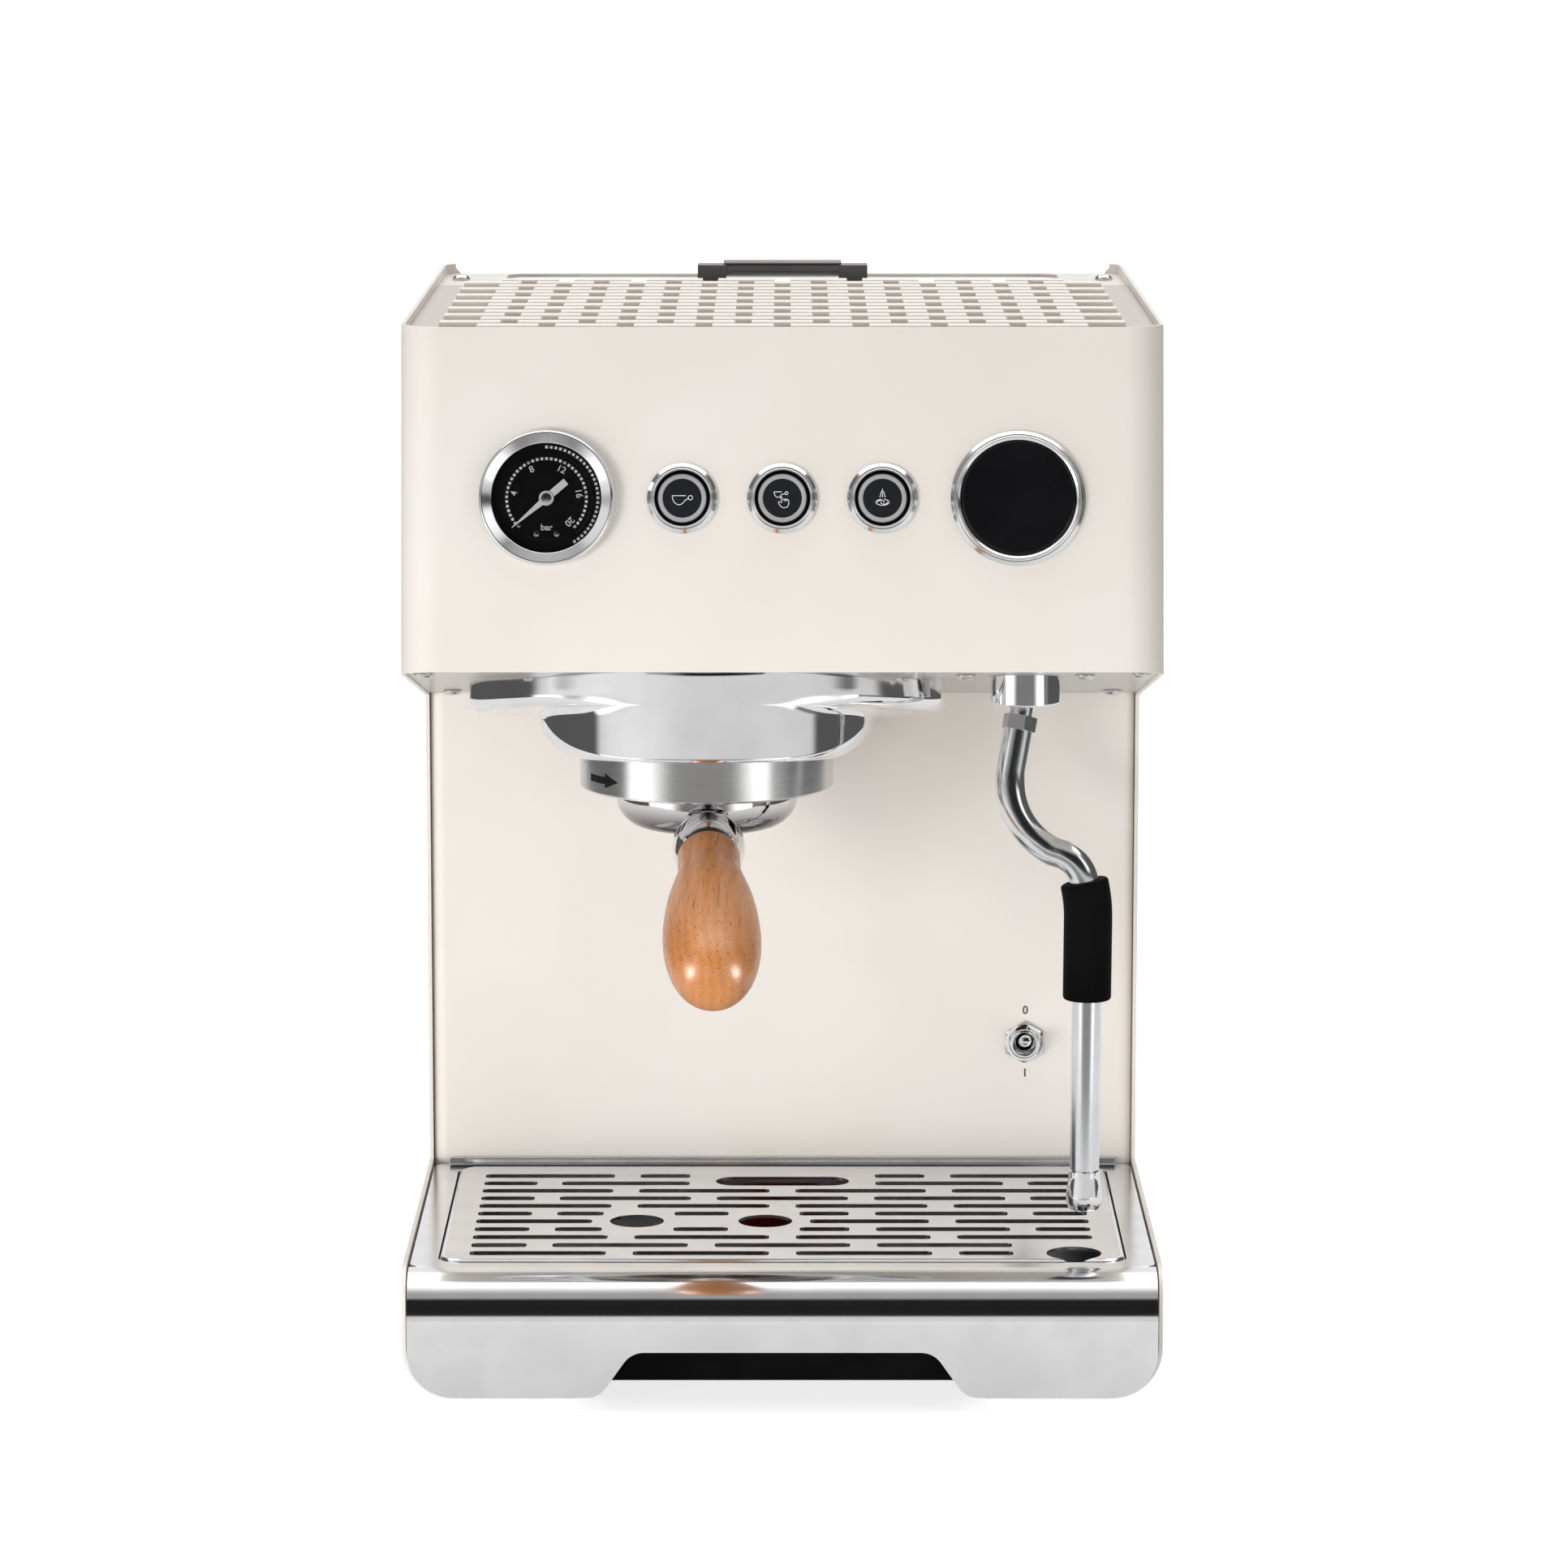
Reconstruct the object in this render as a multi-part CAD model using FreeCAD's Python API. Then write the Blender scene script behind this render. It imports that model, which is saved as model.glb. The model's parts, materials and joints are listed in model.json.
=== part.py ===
import FreeCAD, Part
import math
import os

# Espresso machine, millimetres. X runs across, Y from the front to the back, Z is up.
# The origin is on the worktop, in the middle of the machine's footprint, handle included.

# Body
width = 280.0
half_width = width / 2
sheet = 1.5
front_y = -110.0          # lower front edge of the head
rear_y = 213.0            # outer face of the rear flanges
base_front_y = -130.0
splash_y = 55.0
base_bottom_z = 3.5
base_top_z = 52.0
head_bottom_z = 271.0
head_top_z = 395.0
face_lean = 10.0          # degrees that the front face leans back
underside_fall = 0.2      # drop of the head's underside for each millimetre of depth
front_corner = 15.0
bottom_corner = 19.0
rear_corner = 10.0
base_nose = 14.0          # rounding of the base's upper front corner
rear_flange = 20.0        # how far the rear flanges turn in
flange_drop = 20.0        # how far the rear flanges' upper ends slope down
channel_half = 75.0       # half width of the open channel under the base
channel_rear_y = 183.0
plate_recess = 1.0        # the underside plate sits this far above the edge of the sides
splash_return = 16.0      # depth of the splash panel's turned sides
splash_corner = 6.0
splash_foot_z = 25.0
pan_half = 119.5
pan_top_z = 13.5
pan_lip_z = 9.8           # lower edge of the base pan's front lip
far = 600.0               # past the machine on every side
waist_z = 150.0           # a height in the open space between the base and the head

# Feet and fasteners
foot_radius = 11.0
foot_x = 108.0
foot_front_y = -96.0
foot_rear_y = 185.0
screw_head = 3.6
screw_height = 2.0
screw_shank = 1.6
screw_hole = 1.7
screw_length = 4.0
screw_drive = 1.2
rear_screw_x = 127.0
rear_screw_heights = (40.0, 200.0, 360.0)
deck_screw_x = 131.0
deck_screw_y = 178.0
underside_screws = [(-132.0, -90.0), (132.0, -90.0), (-128.0, 32.0), (128.0, 32.0), (68.0, -78.0),
                    (112.0, -78.0)]

# Rear panel
inlet_x = -80.0
inlet_z = 60.0
inlet_half_width = 13.8
inlet_half_height = 9.8
inlet_depth = 20.0
inlet_flange_half_width = 16.0
inlet_flange_half_height = 12.5
inlet_flange_sheet = 2.5
inlet_flange_corner = 4.0
inlet_floor = 5.0
mouth_half_width = 12.0
mouth_half_height = 8.0
mouth_corner = 3.0
pin_places = ((-7.0, 1.0), (0.0, -3.0), (7.0, 1.0))
pin_half_width = 1.0
pin_half_height = 2.0
pin_setback = 3.0         # the pins end this far inside the mouth
vent_rows = 9
vent_first_z = 34.0
vent_pitch = 8.0
vent_height = 3.0
vent_length = 40.0
vent_columns = (30.0, 80.0)

# Front controls, on one line across the face
control_drop = 62.5       # along the face, below its upper edge
gauge_x = -86.0
gauge_radius = 24.3
gauge_hole = 22.0
gauge_depth = 20.0
dial_radius = 20.3
dial_recess = 1.0
dial_sheet = 0.8
bezel_height = 5.8
glass_seat = 2.8
glass_sheet = 0.8
spindle = 1.0
needle_zero = 220.5       # degrees, where the needle rests
needle_point = 16.5
needle_tail = 9.4
needle_tail_half = 1.3
needle_hub = 2.75
display_x = 86.0
display_radius = 23.9
display_hole = 21.5
display_depth = 14.0
lens_radius = 21.0
button_pitch = 36.5
button_columns = (-1, 0, 1)
button_radius = 12.5
button_hole = 11.0
button_cap = 9.35
button_depth = 12.0
button_stem = 3.0
button_travel = 2.0
panel_cut = 10.0          # the panel's holes are cut this far each way

# Brewing group
group_x = -28.4
group_y = -48.0
cowl_half_span = 88.0
cowl_half_depth = 60.0
cowl_end = 35.0           # radius of the brim's two ends
cowl_radius = 63.0
cowl_brim = 12.0
cowl_hem = 15.0           # rounding under the bowl of the cowl
cowl_wall = 3.0
cowl_mouth = 51.0
cowl_bottom_z = 231.0
cowl_tip = 6.0            # degrees that the bowl's front edge is raised
cowl_gap = 0.3            # between the cowl and the front sheet's lower edge
brim_hem = 5.0
collar_radius = 47.5
collar_bore = 37.0
collar_bottom_z = 219.5
collar_top_z = 236.0
flange_radius = 46.0
flange_height = 8.0
group_neck = 30.0
gasket_inner = 28.8
gasket_outer = 36.2
gasket_bottom_z = 228.4
screen_radius = 27.5
screen_bottom_z = 229.4
screen_sheet = 1.2
screen_rings = (9, 15, 21)  # each ring's radius, and its number of holes
boiler_bottom_z = 292.0
boiler_y = -28.0
boiler_radius = 40.0
boiler_height = 60.0
boiler_wall = 3.0
coil_base = 12.0          # half width of the solenoid valve's brass base
coil_base_height = 10.0
coil_radius = 11.0
coil_height = 18.0
coil_stem = 4.0
coil_stem_height = 3.0

# Pump and pipes
pump_z = 60.0
pump_front_y = 72.0
pump_rear_y = 150.0
pump_radius = 20.0
pump_frame = 24.0
pump_frame_y = 98.0
pump_leg = 4.0            # half width of each leg
pump_leg_reach = 18.0     # from the pump's middle to each leg
port_radius = 5.0
port_length = 12.0
outlet_y = 82.0
outlet_top_z = 86.0
hose_radius = 4.0
steam_pipe_top_z = 335.0
steam_pipe_radius = 3.0
board_left_x = -118.0
board_right_x = -42.0
board_bottom_z = 122.0
board_top_z = 198.0
board_gap = 6.0
board_sheet = 1.6
board_post = 3.0
board_post_inset = 6.0
board_components = [      # left, right, bottom and top on the board, and height off it
    (-104.0, -84.0, 140.0, 166.0, 9.4),
    (-76.0, -60.0, 146.0, 162.0, 5.4),
    (-100.0, -60.0, 174.0, 186.0, 7.4),
]

# Portafilter
bowl_radius = 34.2
bowl_bottom_z = 204.0
bowl_top_z = 227.0
bowl_wall = 2.6
bowl_hem = 12.0
drain_radius = 4.0
lug_radius = 40.8
lug_bottom_z = 222.7
lug_top_z = 228.1
lug_angle = 30.0
unlock_angle = -50.0
basket_radius = 30.4
basket_bottom_z = 210.0
basket_sheet = 0.8
spout_radius = 8.5
spout_bottom_z = 192.0
handle_tilt = 12.8
handle_yaw = 1.5          # degrees that the locked handle points right of straight ahead
handle_axis_z = 212.7     # height of the handle's axis where it crosses the group's axis
arm_radius = 10.0
ferrule_start = 42.0      # distances along the handle are measured from the group's axis
ferrule_length = 14.4
ferrule_radius = 13.5
ferrule_wall = 0.9
handle_start = 47.0
handle_length = 124.4
handle_neck = 11.5
handle_bulb = 17.6

# Steam wand
wand_x = 90.5
wand_y = -65.0
ball_z = 258.0
ball_radius = 7.0
ball_gap = 0.35
cup_radius = 8.85
tube_radius = 5.5
stem_radius = 4.3
boss_radius = 13.0
boss_bottom_z = 253.0
boss_top_z = 276.0
boss_bore = 9.2
sleeve_radius = 10.8
union_radius = 6.4
union_near = 10.0         # the union nut's two faces, along the wand from the ball's centre
union_far = 15.5
grip_radius = 9.0
grip_hem = 1.2
grip_fit = 0.05
grip_top_z = 189.0
grip_bottom_z = 144.5
tip_radius = 6.8
tip_top_z = 80.0
tip_bottom_z = 64.0
wand_bend = (82.0, -76.0, 212.0)
wand_knee = (99.7, -81.0, 199.7)
wand_turn = (110.2, -84.0, 197.1)
wand_shoulder = (113.5, -84.3, 181.0)
wand_foot = (112.8, -85.0, tip_top_z)
shoulder_radius = 58.0
wand_bend_radii = [0, 28.0, 12.0, 12.5, shoulder_radius, 0]

# Power toggle on the splash panel
toggle_x = 95.5
toggle_z = 99.6
toggle_tilt = 12.0
toggle_thread = 6.0
toggle_flats = 14.6
toggle_depth = 12.0
switch_half_width = 8.0
switch_half_height = 14.0
switch_depth = 18.0
nut_height = 3.0
lever_length = 18.1
lever_ball = 2.7

# Drip drawer
tray_half = 137.9
tray_front_y = -118.0
tray_rear_y = 53.5
tray_bottom_z = 14.5
tray_top_z = 50.5
tray_lip = 2.6            # upstand along the tray's rear edge
tray_corner = 6.0
tray_hem = 8.0
ledge_width = 5.0
grid_half = 127.4
grid_front_y = -110.6
grid_rear_y = 45.6
grid_top_z = 51.4
grid_sheet = 1.2
grid_skirt = 6.0
grid_corner = 8.0
grid_round = 2.0
grid_gap = 0.4
slot_length = 50.6
slot_width = 6.4
slot_end = 1.6            # rounding of the slots' corners
slot_period = 60.7
slot_rows = 11
slot_pitch = 12.75
slot_first_y = -100.5
short_slot = 20.6
short_slot_x = 106.0
least_slot = 14.9         # a slot that a hole cuts shorter than this is left out
round_hole = 10.25
float_hole_x = -6.5
drain_hole_x = -55.3
hole_row_y = -49.0
corner_hole_x = 108.4
rear_slot_y = 18.0
rear_slot_half = 26.0
rear_slot_width = 15.2
float_half = 18.0
float_top_z = 34.0
flag_top_z = 47.0
flag_half = 17.0
flag_width = 11.0
pip_radius = 8.4
fascia_front_y = -136.0
fascia_nose = 17.5
fascia_wall = 2.0
fascia_bottom_z = 5.4
fascia_hem = 16.9
notch_top_z = 22.5
notch_top_half = 55.5
notch_bottom_half = 67.5
notch_round = 9.0
notch_margin = 16.0

# Cup tray
pad_length = 22.7
pad_period = 28.8
pad_depth = 9.5
pad_rows = 15
pad_pitch = 14.9
pad_first_y = -81.0
pad_height = 3.0
front_row_pads = 8
cup_tray_rear_y = 139.0
apron_bottom_z = 379.0

# Water tank at the back
tank_half = 108.0
tank_front_y = 150.0
tank_rear_y = 205.0
tank_bottom_z = 116.0
tank_top_z = 372.0
tank_wall = 2.2
tank_corner = 9.0
deck_top_z = 391.0
deck_gap = 4.0
valve_x = group_x
valve_y = 177.0
valve_radius = 9.0
valve_bore = 5.0
valve_length = 12.0
seat_height = 6.0
seat_margin = 10.0
socket_radius = 14.0
socket_bottom_z = 94.0
lid_height = 3.0
lid_overhang = 1.5
lid_plug = 6.0
lid_gap = 0.6
lid_wall = 2.0
pull_half = 34.5
pull_y = 177.0
pull_top_z = 399.0
pull_foot = 11.6
pull_bar = 6.0


def at(x, y, z):
    return FreeCAD.Vector(x, y, z)


x_axis = at(1, 0, 0)
y_axis = at(0, 1, 0)
z_axis = at(0, 0, 1)
lean = math.radians(face_lean)
fall_angle = math.degrees(math.atan(underside_fall))


def face_y(z):
    return front_y + (z - head_bottom_z) * math.tan(lean)


def under_z(y):
    return head_bottom_z - underside_fall * (y - front_y)


def block(x0, x1, y0, y1, z0, z1):
    return Part.makeBox(x1 - x0, y1 - y0, z1 - z0, at(x0, y0, z0))


def rod(radius, start, end):
    along = end - start
    return Part.makeCylinder(radius, along.Length, start, along)


def upright(radius, x, y, z0, z1):
    return rod(radius, at(x, y, z0), at(x, y, z1))


def joined(first, others):
    return first.fuse(others).removeSplitter()


def flat(points):
    return Part.Face(Part.makePolygon(points + points[:1]))


def turned(outline):
    # A closed outline of (radius, height) pairs, spun about the Z axis.
    return flat([at(radius, 0, height) for radius, height in outline]).revolve(at(0, 0, 0), z_axis, 360)


def across(outline, x0, x1):
    # A closed side outline of (y, z) pairs, drawn across from x0 to x1.
    return flat([at(x0, y, z) for y, z in outline]).extrude(at(x1 - x0, 0, 0))


def hexagon(radius, first_angle, height):
    angles = [math.radians(first_angle + 60 * i) for i in range(6)]
    points = [at(radius * math.cos(angle), radius * math.sin(angle), 0) for angle in angles]
    return flat(points).extrude(at(0, 0, height))


def rounded_wire(points, radii, closed):
    # Straight runs joined by tangent arcs; each corner has its own radius.
    count = len(points)
    corners = range(count) if closed else range(1, count - 1)
    edges = []
    cursor = None if closed else points[0]
    first = None
    for i in corners:
        before = (points[i - 1] - points[i]).normalize()
        after = (points[(i + 1) % count] - points[i]).normalize()
        half = before.getAngle(after) / 2
        reach = radii[i] / math.tan(half)
        start = points[i] + before * reach
        end = points[i] + after * reach
        middle = points[i] + (before + after).normalize() * (radii[i] / math.sin(half) - radii[i])
        if cursor is None:
            first = start
        else:
            edges.append(Part.LineSegment(cursor, start).toShape())
        edges.append(Part.Arc(start, middle, end).toShape())
        cursor = end
    last = first if closed else points[-1]
    edges.append(Part.LineSegment(cursor, last).toShape())
    return Part.Wire(edges)


def oval(half_span, half_depth, end_radius):
    # A smooth outline of four arcs, wider than it is deep.
    reach = half_span - end_radius
    side_radius = (reach ** 2 + half_depth ** 2 - end_radius ** 2) / 2 / (half_depth - end_radius)
    join = at(reach, 0, 0) + at(reach, side_radius - half_depth, 0).normalize() * end_radius
    arcs = [Part.Arc(join, at(0, half_depth, 0), at(-join.x, join.y, 0)),
            Part.Arc(at(-join.x, join.y, 0), at(-half_span, 0, 0), at(-join.x, -join.y, 0)),
            Part.Arc(at(-join.x, -join.y, 0), at(0, -half_depth, 0), at(join.x, -join.y, 0)),
            Part.Arc(at(join.x, -join.y, 0), at(half_span, 0, 0), join)]
    return Part.Wire([arc.toShape() for arc in arcs])


def bent_rod(points, radii, radius):
    path = rounded_wire(points, radii, False)
    ring = Part.Wire(Part.makeCircle(radius, points[0], points[1] - points[0]))
    return path.makePipeShell([ring], True, True)


def trough(half, y0, y1, floor, radius):
    # A long block that is open above, with its two lower edges rounded.
    corners = [at(-half, y0, floor), at(half, y0, floor), at(half, y0, far), at(-half, y0, far)]
    return Part.Face(rounded_wire(corners, [radius, radius, 1, 1], True)).extrude(at(0, y1 - y0, 0))


def round_edges(shape, radius, chosen):
    return shape.makeFillet(radius, [edge for edge in shape.Edges if chosen(edge)])


def runs_along(edge, axis):
    if len(edge.Vertexes) != 2:
        return False
    way = edge.Vertexes[1].Point - edge.Vertexes[0].Point
    return way.cross(axis).Length < 0.001 * way.Length


def rounded_block(x0, x1, y0, y1, z0, z1, radius):
    solid = block(x0, x1, y0, y1, z0, z1)
    return round_edges(solid, radius, lambda edge: runs_along(edge, z_axis))


def moved(shape, place, turn=FreeCAD.Rotation()):
    copy = shape.copy()
    copy.Placement = FreeCAD.Placement(place, turn)
    return copy


def on_face(shape, x):
    # Shapes drawn about +Z, with Z = 0 on the painted face, set on the control line.
    z = head_top_z - control_drop * math.cos(lean)
    return moved(shape, at(x, face_y(z), z), FreeCAD.Rotation(x_axis, 90 - face_lean))


def on_buttons(shape):
    return Part.Compound([on_face(shape, column * button_pitch) for column in button_columns])


def on_underside(shape, x, y):
    return moved(shape, at(x, y, under_z(y) + plate_recess), FreeCAD.Rotation(x_axis, 180 - fall_angle))


def on_group(shape):
    return moved(shape, at(group_x, group_y, 0))


def on_toggle(shape, tilt):
    return moved(shape, at(toggle_x, splash_y, toggle_z), FreeCAD.Rotation(x_axis, 90 - tilt))


def on_handle(shape):
    # Shapes drawn about +Z, laid along the handle's axis, with Z = 0 on the group's axis.
    turn = FreeCAD.Rotation(z_axis, handle_yaw).multiply(FreeCAD.Rotation(x_axis, 90 + handle_tilt))
    return moved(shape, at(group_x, group_y, handle_axis_z), turn)


def save(name, shape):
    shape.exportStep("parts/" + name + ".step")
    print(name, "valid" if shape.isValid() else "NOT VALID", len(shape.Solids), "solids",
          round(shape.Volume / 1000, 2), "cm3")


def body_block(inset):
    # The space inside the sheet-metal wrap, or its outside when the inset is nothing.
    side = half_width - inset
    floor = base_bottom_z + inset
    back = rear_y - inset
    plan = block(-side, side, -far, back, floor, far)
    plan = round_edges(plan, rear_corner - inset, lambda edge: runs_along(edge, z_axis)
                       and edge.CenterOfMass.y > 0)
    slope = inset / math.cos(lean)
    if inset:
        outline = [(-far, floor), (back, floor), (back, far), (face_y(far) + slope, far),
                   (face_y(waist_z) + slope, waist_z), (-far, waist_z)]
    else:
        outline = [(front_y, head_bottom_z), (face_y(head_top_z), head_top_z), (back, head_top_z),
                   (back, floor), (base_front_y, floor), (base_front_y, base_top_z),
                   (splash_y, base_top_z), (splash_y, under_z(splash_y))]
    solid = across(outline, -side, side)
    leaning = at(0, math.sin(lean), math.cos(lean))
    solid = round_edges(solid, front_corner - inset, lambda edge: runs_along(edge, leaning))
    if not inset:
        solid = round_edges(solid, base_nose, lambda edge: runs_along(edge, x_axis)
                            and abs(edge.CenterOfMass.y - base_front_y) < 1
                            and edge.CenterOfMass.z > base_bottom_z + 1)
    return solid.common(plan).common(trough(side, -far, far, floor, bottom_corner - inset))


def layer_below_plate(depth):
    # The layer under the head's bottom plate, this deep.
    top = plate_recess
    outline = [(-far, under_z(-far) + top), (far, under_z(far) + top), (far, under_z(far) - depth),
               (-far, under_z(-far) - depth)]
    return across(outline, -far, far)


def panel_hole(radius):
    return rod(radius, at(0, 0, -panel_cut), at(0, 0, panel_cut))


def rear_screw_places():
    return [at(side * rear_screw_x, rear_y, z) for side in (-1, 1) for z in rear_screw_heights]


def deck_screw_places():
    return [at(side * deck_screw_x, deck_screw_y, deck_top_z) for side in (-1, 1)]


def make_body_shell():
    shell = body_block(0).cut(body_block(sheet))
    edge = half_width - rear_flange
    opening = block(-edge, edge, rear_y - 2 * sheet, rear_y + 1, base_bottom_z + sheet, far)
    channel = block(-channel_half, channel_half, -far, channel_rear_y, 0, base_bottom_z + sheet + 1)
    controls = [on_face(panel_hole(gauge_hole), gauge_x), on_face(panel_hole(display_hole), display_x),
                on_buttons(panel_hole(button_hole))]
    shell = shell.cut([opening, channel] + controls)
    for side in (-1, 1):
        slope = [at(side * (half_width - 2 * sheet), rear_y - 2 * sheet, head_top_z + 1),
                 at(side * edge, rear_y - 2 * sheet, head_top_z - flange_drop),
                 at(side * edge, rear_y - 2 * sheet, head_top_z + 1)]
        shell = shell.cut(flat(slope).extrude(at(0, 3 * sheet, 0)))
    reach = at(0, screw_length, 0)
    return shell.cut([rod(screw_hole, place + reach, place - reach) for place in rear_screw_places()])


def make_underside_plate():
    low = front_y - front_corner
    high = splash_y - 0.5
    outline = [(low, under_z(low) + plate_recess), (high, under_z(high) + plate_recess),
               (high, under_z(high) + plate_recess + sheet), (low, under_z(low) + plate_recess + sheet)]
    plate = across(outline, -half_width, half_width).common(body_block(sheet))
    neck = upright(group_neck + 1, group_x, group_y, 0, far)
    steam = upright(sleeve_radius + 0.2, wand_x, wand_y, 0, far)
    screws = [on_underside(panel_hole(screw_hole), x, y) for x, y in underside_screws]
    return plate.cut([neck, steam] + screws)


def make_splash_panel():
    side = half_width - sheet
    top = under_z(splash_y) + plate_recess + sheet
    outer = block(-side, side, splash_y, splash_y + splash_return, splash_foot_z, top)
    outer = round_edges(outer, splash_corner, lambda edge: runs_along(edge, z_axis)
                        and edge.CenterOfMass.y < splash_y + 1)
    inner = block(-side + sheet, side - sheet, splash_y + sheet, far, 0, far)
    inner = round_edges(inner, splash_corner - sheet, lambda edge: runs_along(edge, z_axis)
                        and edge.CenterOfMass.y < splash_y + splash_return)
    return outer.cut([inner, on_toggle(panel_hole(toggle_thread + 0.1), 0)])


def make_rear_panel():
    half = half_width - rear_corner - sheet
    back = rear_y - sheet
    front = back - sheet
    panel = block(-half, half, front, back, base_bottom_z + sheet, deck_top_z - deck_gap)
    panel = panel.common(body_block(sheet))
    openings = []
    for row in range(vent_rows):
        z = vent_first_z + row * vent_pitch
        for x in vent_columns:
            openings.append(block(x, x + vent_length, front - 1, back + 1, z, z + vent_height))
    half_x = inlet_half_width + 0.2
    half_z = inlet_half_height + 0.2
    openings.append(block(inlet_x - half_x, inlet_x + half_x, front - 1, back + 1, inlet_z - half_z,
                          inlet_z + half_z))
    openings += [rod(screw_hole, place, place - at(0, screw_length, 0)) for place in rear_screw_places()]
    return panel.cut(openings)


def make_power_inlet():
    # A three-pin appliance socket, drawn about its own middle.
    back = rear_y - sheet
    floor = back - inlet_depth + inlet_floor
    flange = block(-inlet_flange_half_width, inlet_flange_half_width, back, back + inlet_flange_sheet,
                   -inlet_flange_half_height, inlet_flange_half_height)
    flange = round_edges(flange, inlet_flange_corner, lambda edge: runs_along(edge, y_axis))
    body = block(-inlet_half_width, inlet_half_width, back - inlet_depth, back, -inlet_half_height,
                 inlet_half_height)
    mouth = block(-mouth_half_width, mouth_half_width, floor, far, -mouth_half_height, mouth_half_height)
    mouth = round_edges(mouth, mouth_corner, lambda edge: runs_along(edge, y_axis))
    socket = joined(flange, [body]).cut(mouth)
    pins = [block(x - pin_half_width, x + pin_half_width, floor - pin_half_width, back - pin_setback,
                  z - pin_half_height, z + pin_half_height) for x, z in pin_places]
    return moved(joined(socket, pins), at(inlet_x, 0, inlet_z))


def make_base_pan():
    # A shallow channel, open below, with a lip turned down across its front.
    floor = base_bottom_z + sheet
    front = tray_front_y + 2
    outer = block(-pan_half, pan_half, front, rear_y - 4, floor, pan_top_z)
    under = block(-pan_half + sheet, pan_half - sheet, front + sheet, far, 0, pan_top_z - sheet)
    mouth = block(-pan_half + sheet, pan_half - sheet, -far, far, 0, pan_lip_z)
    return outer.cut([under, mouth])


def make_feet():
    bevel = 1.0
    foot = turned([(0, 0), (foot_radius - bevel, 0), (foot_radius, bevel),
                   (foot_radius - bevel / 2, base_bottom_z), (0, base_bottom_z)])
    places = [at(side * foot_x, y, 0) for side in (-1, 1) for y in (foot_front_y, foot_rear_y)]
    return Part.Compound([moved(foot, place) for place in places])


def make_cup_tray():
    top = head_top_z - pad_height
    plate = block(-half_width, half_width, -far, cup_tray_rear_y, top - sheet, top)
    plate = plate.common(body_block(sheet))
    pads = []
    for row in range(pad_rows):
        y = pad_first_y + row * pad_pitch
        count = front_row_pads + row % 2
        for column in range(count):
            x = (column - (count - 1) / 2) * pad_period
            pads.append(block(x - pad_length / 2, x + pad_length / 2, y, y + pad_depth, top, head_top_z))
    side = half_width - sheet
    apron = block(-side, side, cup_tray_rear_y - sheet, cup_tray_rear_y, apron_bottom_z, top - sheet)
    return plate.fuse(pads + [apron])


def make_rear_deck():
    plate = block(-half_width, half_width, cup_tray_rear_y, rear_y - sheet, deck_top_z - sheet, deck_top_z)
    plate = plate.common(body_block(sheet))
    opening = rounded_block(-tank_half - deck_gap - 1, tank_half + deck_gap + 1, tank_front_y - deck_gap,
                            tank_rear_y + deck_gap, 0, far, tank_corner - 1)
    reach = at(0, 0, screw_length)
    screws = [rod(screw_hole, place + reach, place - reach) for place in deck_screw_places()]
    return plate.cut([opening] + screws)


def make_panel_screws():
    screw = turned([(0, -screw_length), (screw_shank, -screw_length), (screw_shank, 0), (screw_head, 0),
                    (screw_head, screw_height / 2), (screw_head * 0.7, screw_height), (0, screw_height)])
    screw = screw.cut(upright(screw_drive, 0, 0, screw_height / 2, screw_height + 1))
    screws = [moved(screw, place, FreeCAD.Rotation(x_axis, -90)) for place in rear_screw_places()]
    screws += [moved(screw, place) for place in deck_screw_places()]
    screws += [on_underside(screw, x, y) for x, y in underside_screws]
    return Part.Compound(screws)


def make_group_cowl():
    # An oval brim against the head's bottom, with a round bowl that drops from it.
    thick = cowl_brim + plate_recess
    brim = Part.Face(oval(cowl_half_span, cowl_half_depth, cowl_end)).extrude(at(0, 0, thick))
    brim = round_edges(brim, brim_hem, lambda edge: edge.BoundBox.ZMin > thick - 0.01)
    brim = on_underside(brim, group_x, group_y)
    middle_z = (cowl_bottom_z + head_bottom_z) / 2
    low = cowl_bottom_z - middle_z
    top = far / 2
    bowl = upright(cowl_radius, 0, 0, low, top)
    bowl = round_edges(bowl, cowl_hem, lambda edge: edge.BoundBox.ZMax < low + 1)
    inside = cowl_radius - cowl_wall
    hollow = turned([(0, low - 1), (cowl_mouth, low - 1), (cowl_mouth, low + cowl_wall),
                     (cowl_radius - 11, low + cowl_wall), (inside, low + 14), (inside, top), (0, top)])
    middle = at(group_x, group_y, middle_z)
    tip = FreeCAD.Rotation(x_axis, -cowl_tip)
    bowl = moved(bowl, middle, tip).common(layer_below_plate(top))
    front_sheet = block(-far, far, -far, front_y + 2 * sheet, head_bottom_z - cowl_gap, far)
    return joined(brim, [bowl]).cut([moved(hollow, middle, tip), front_sheet])


def make_group_head():
    flange_top = collar_top_z + flange_height
    return on_group(turned([(0, collar_top_z), (flange_radius, collar_top_z), (flange_radius, flange_top),
                            (group_neck, flange_top), (group_neck, boiler_bottom_z), (0, boiler_bottom_z)]))


def sector(inner, outer, z0, z1, middle, spread):
    # A piece of a ring, this many degrees wide.
    ring = turned([(inner, z0), (outer, z0), (outer, z1), (inner, z1)])
    corners = [at(0, 0, z0 - 1)]
    for angle in (middle - spread / 2, middle + spread / 2):
        corners.append(at(far * math.cos(math.radians(angle)), far * math.sin(math.radians(angle)), z0 - 1))
    return ring.common(flat(corners).extrude(at(0, 0, z1 - z0 + 2)))


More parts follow.
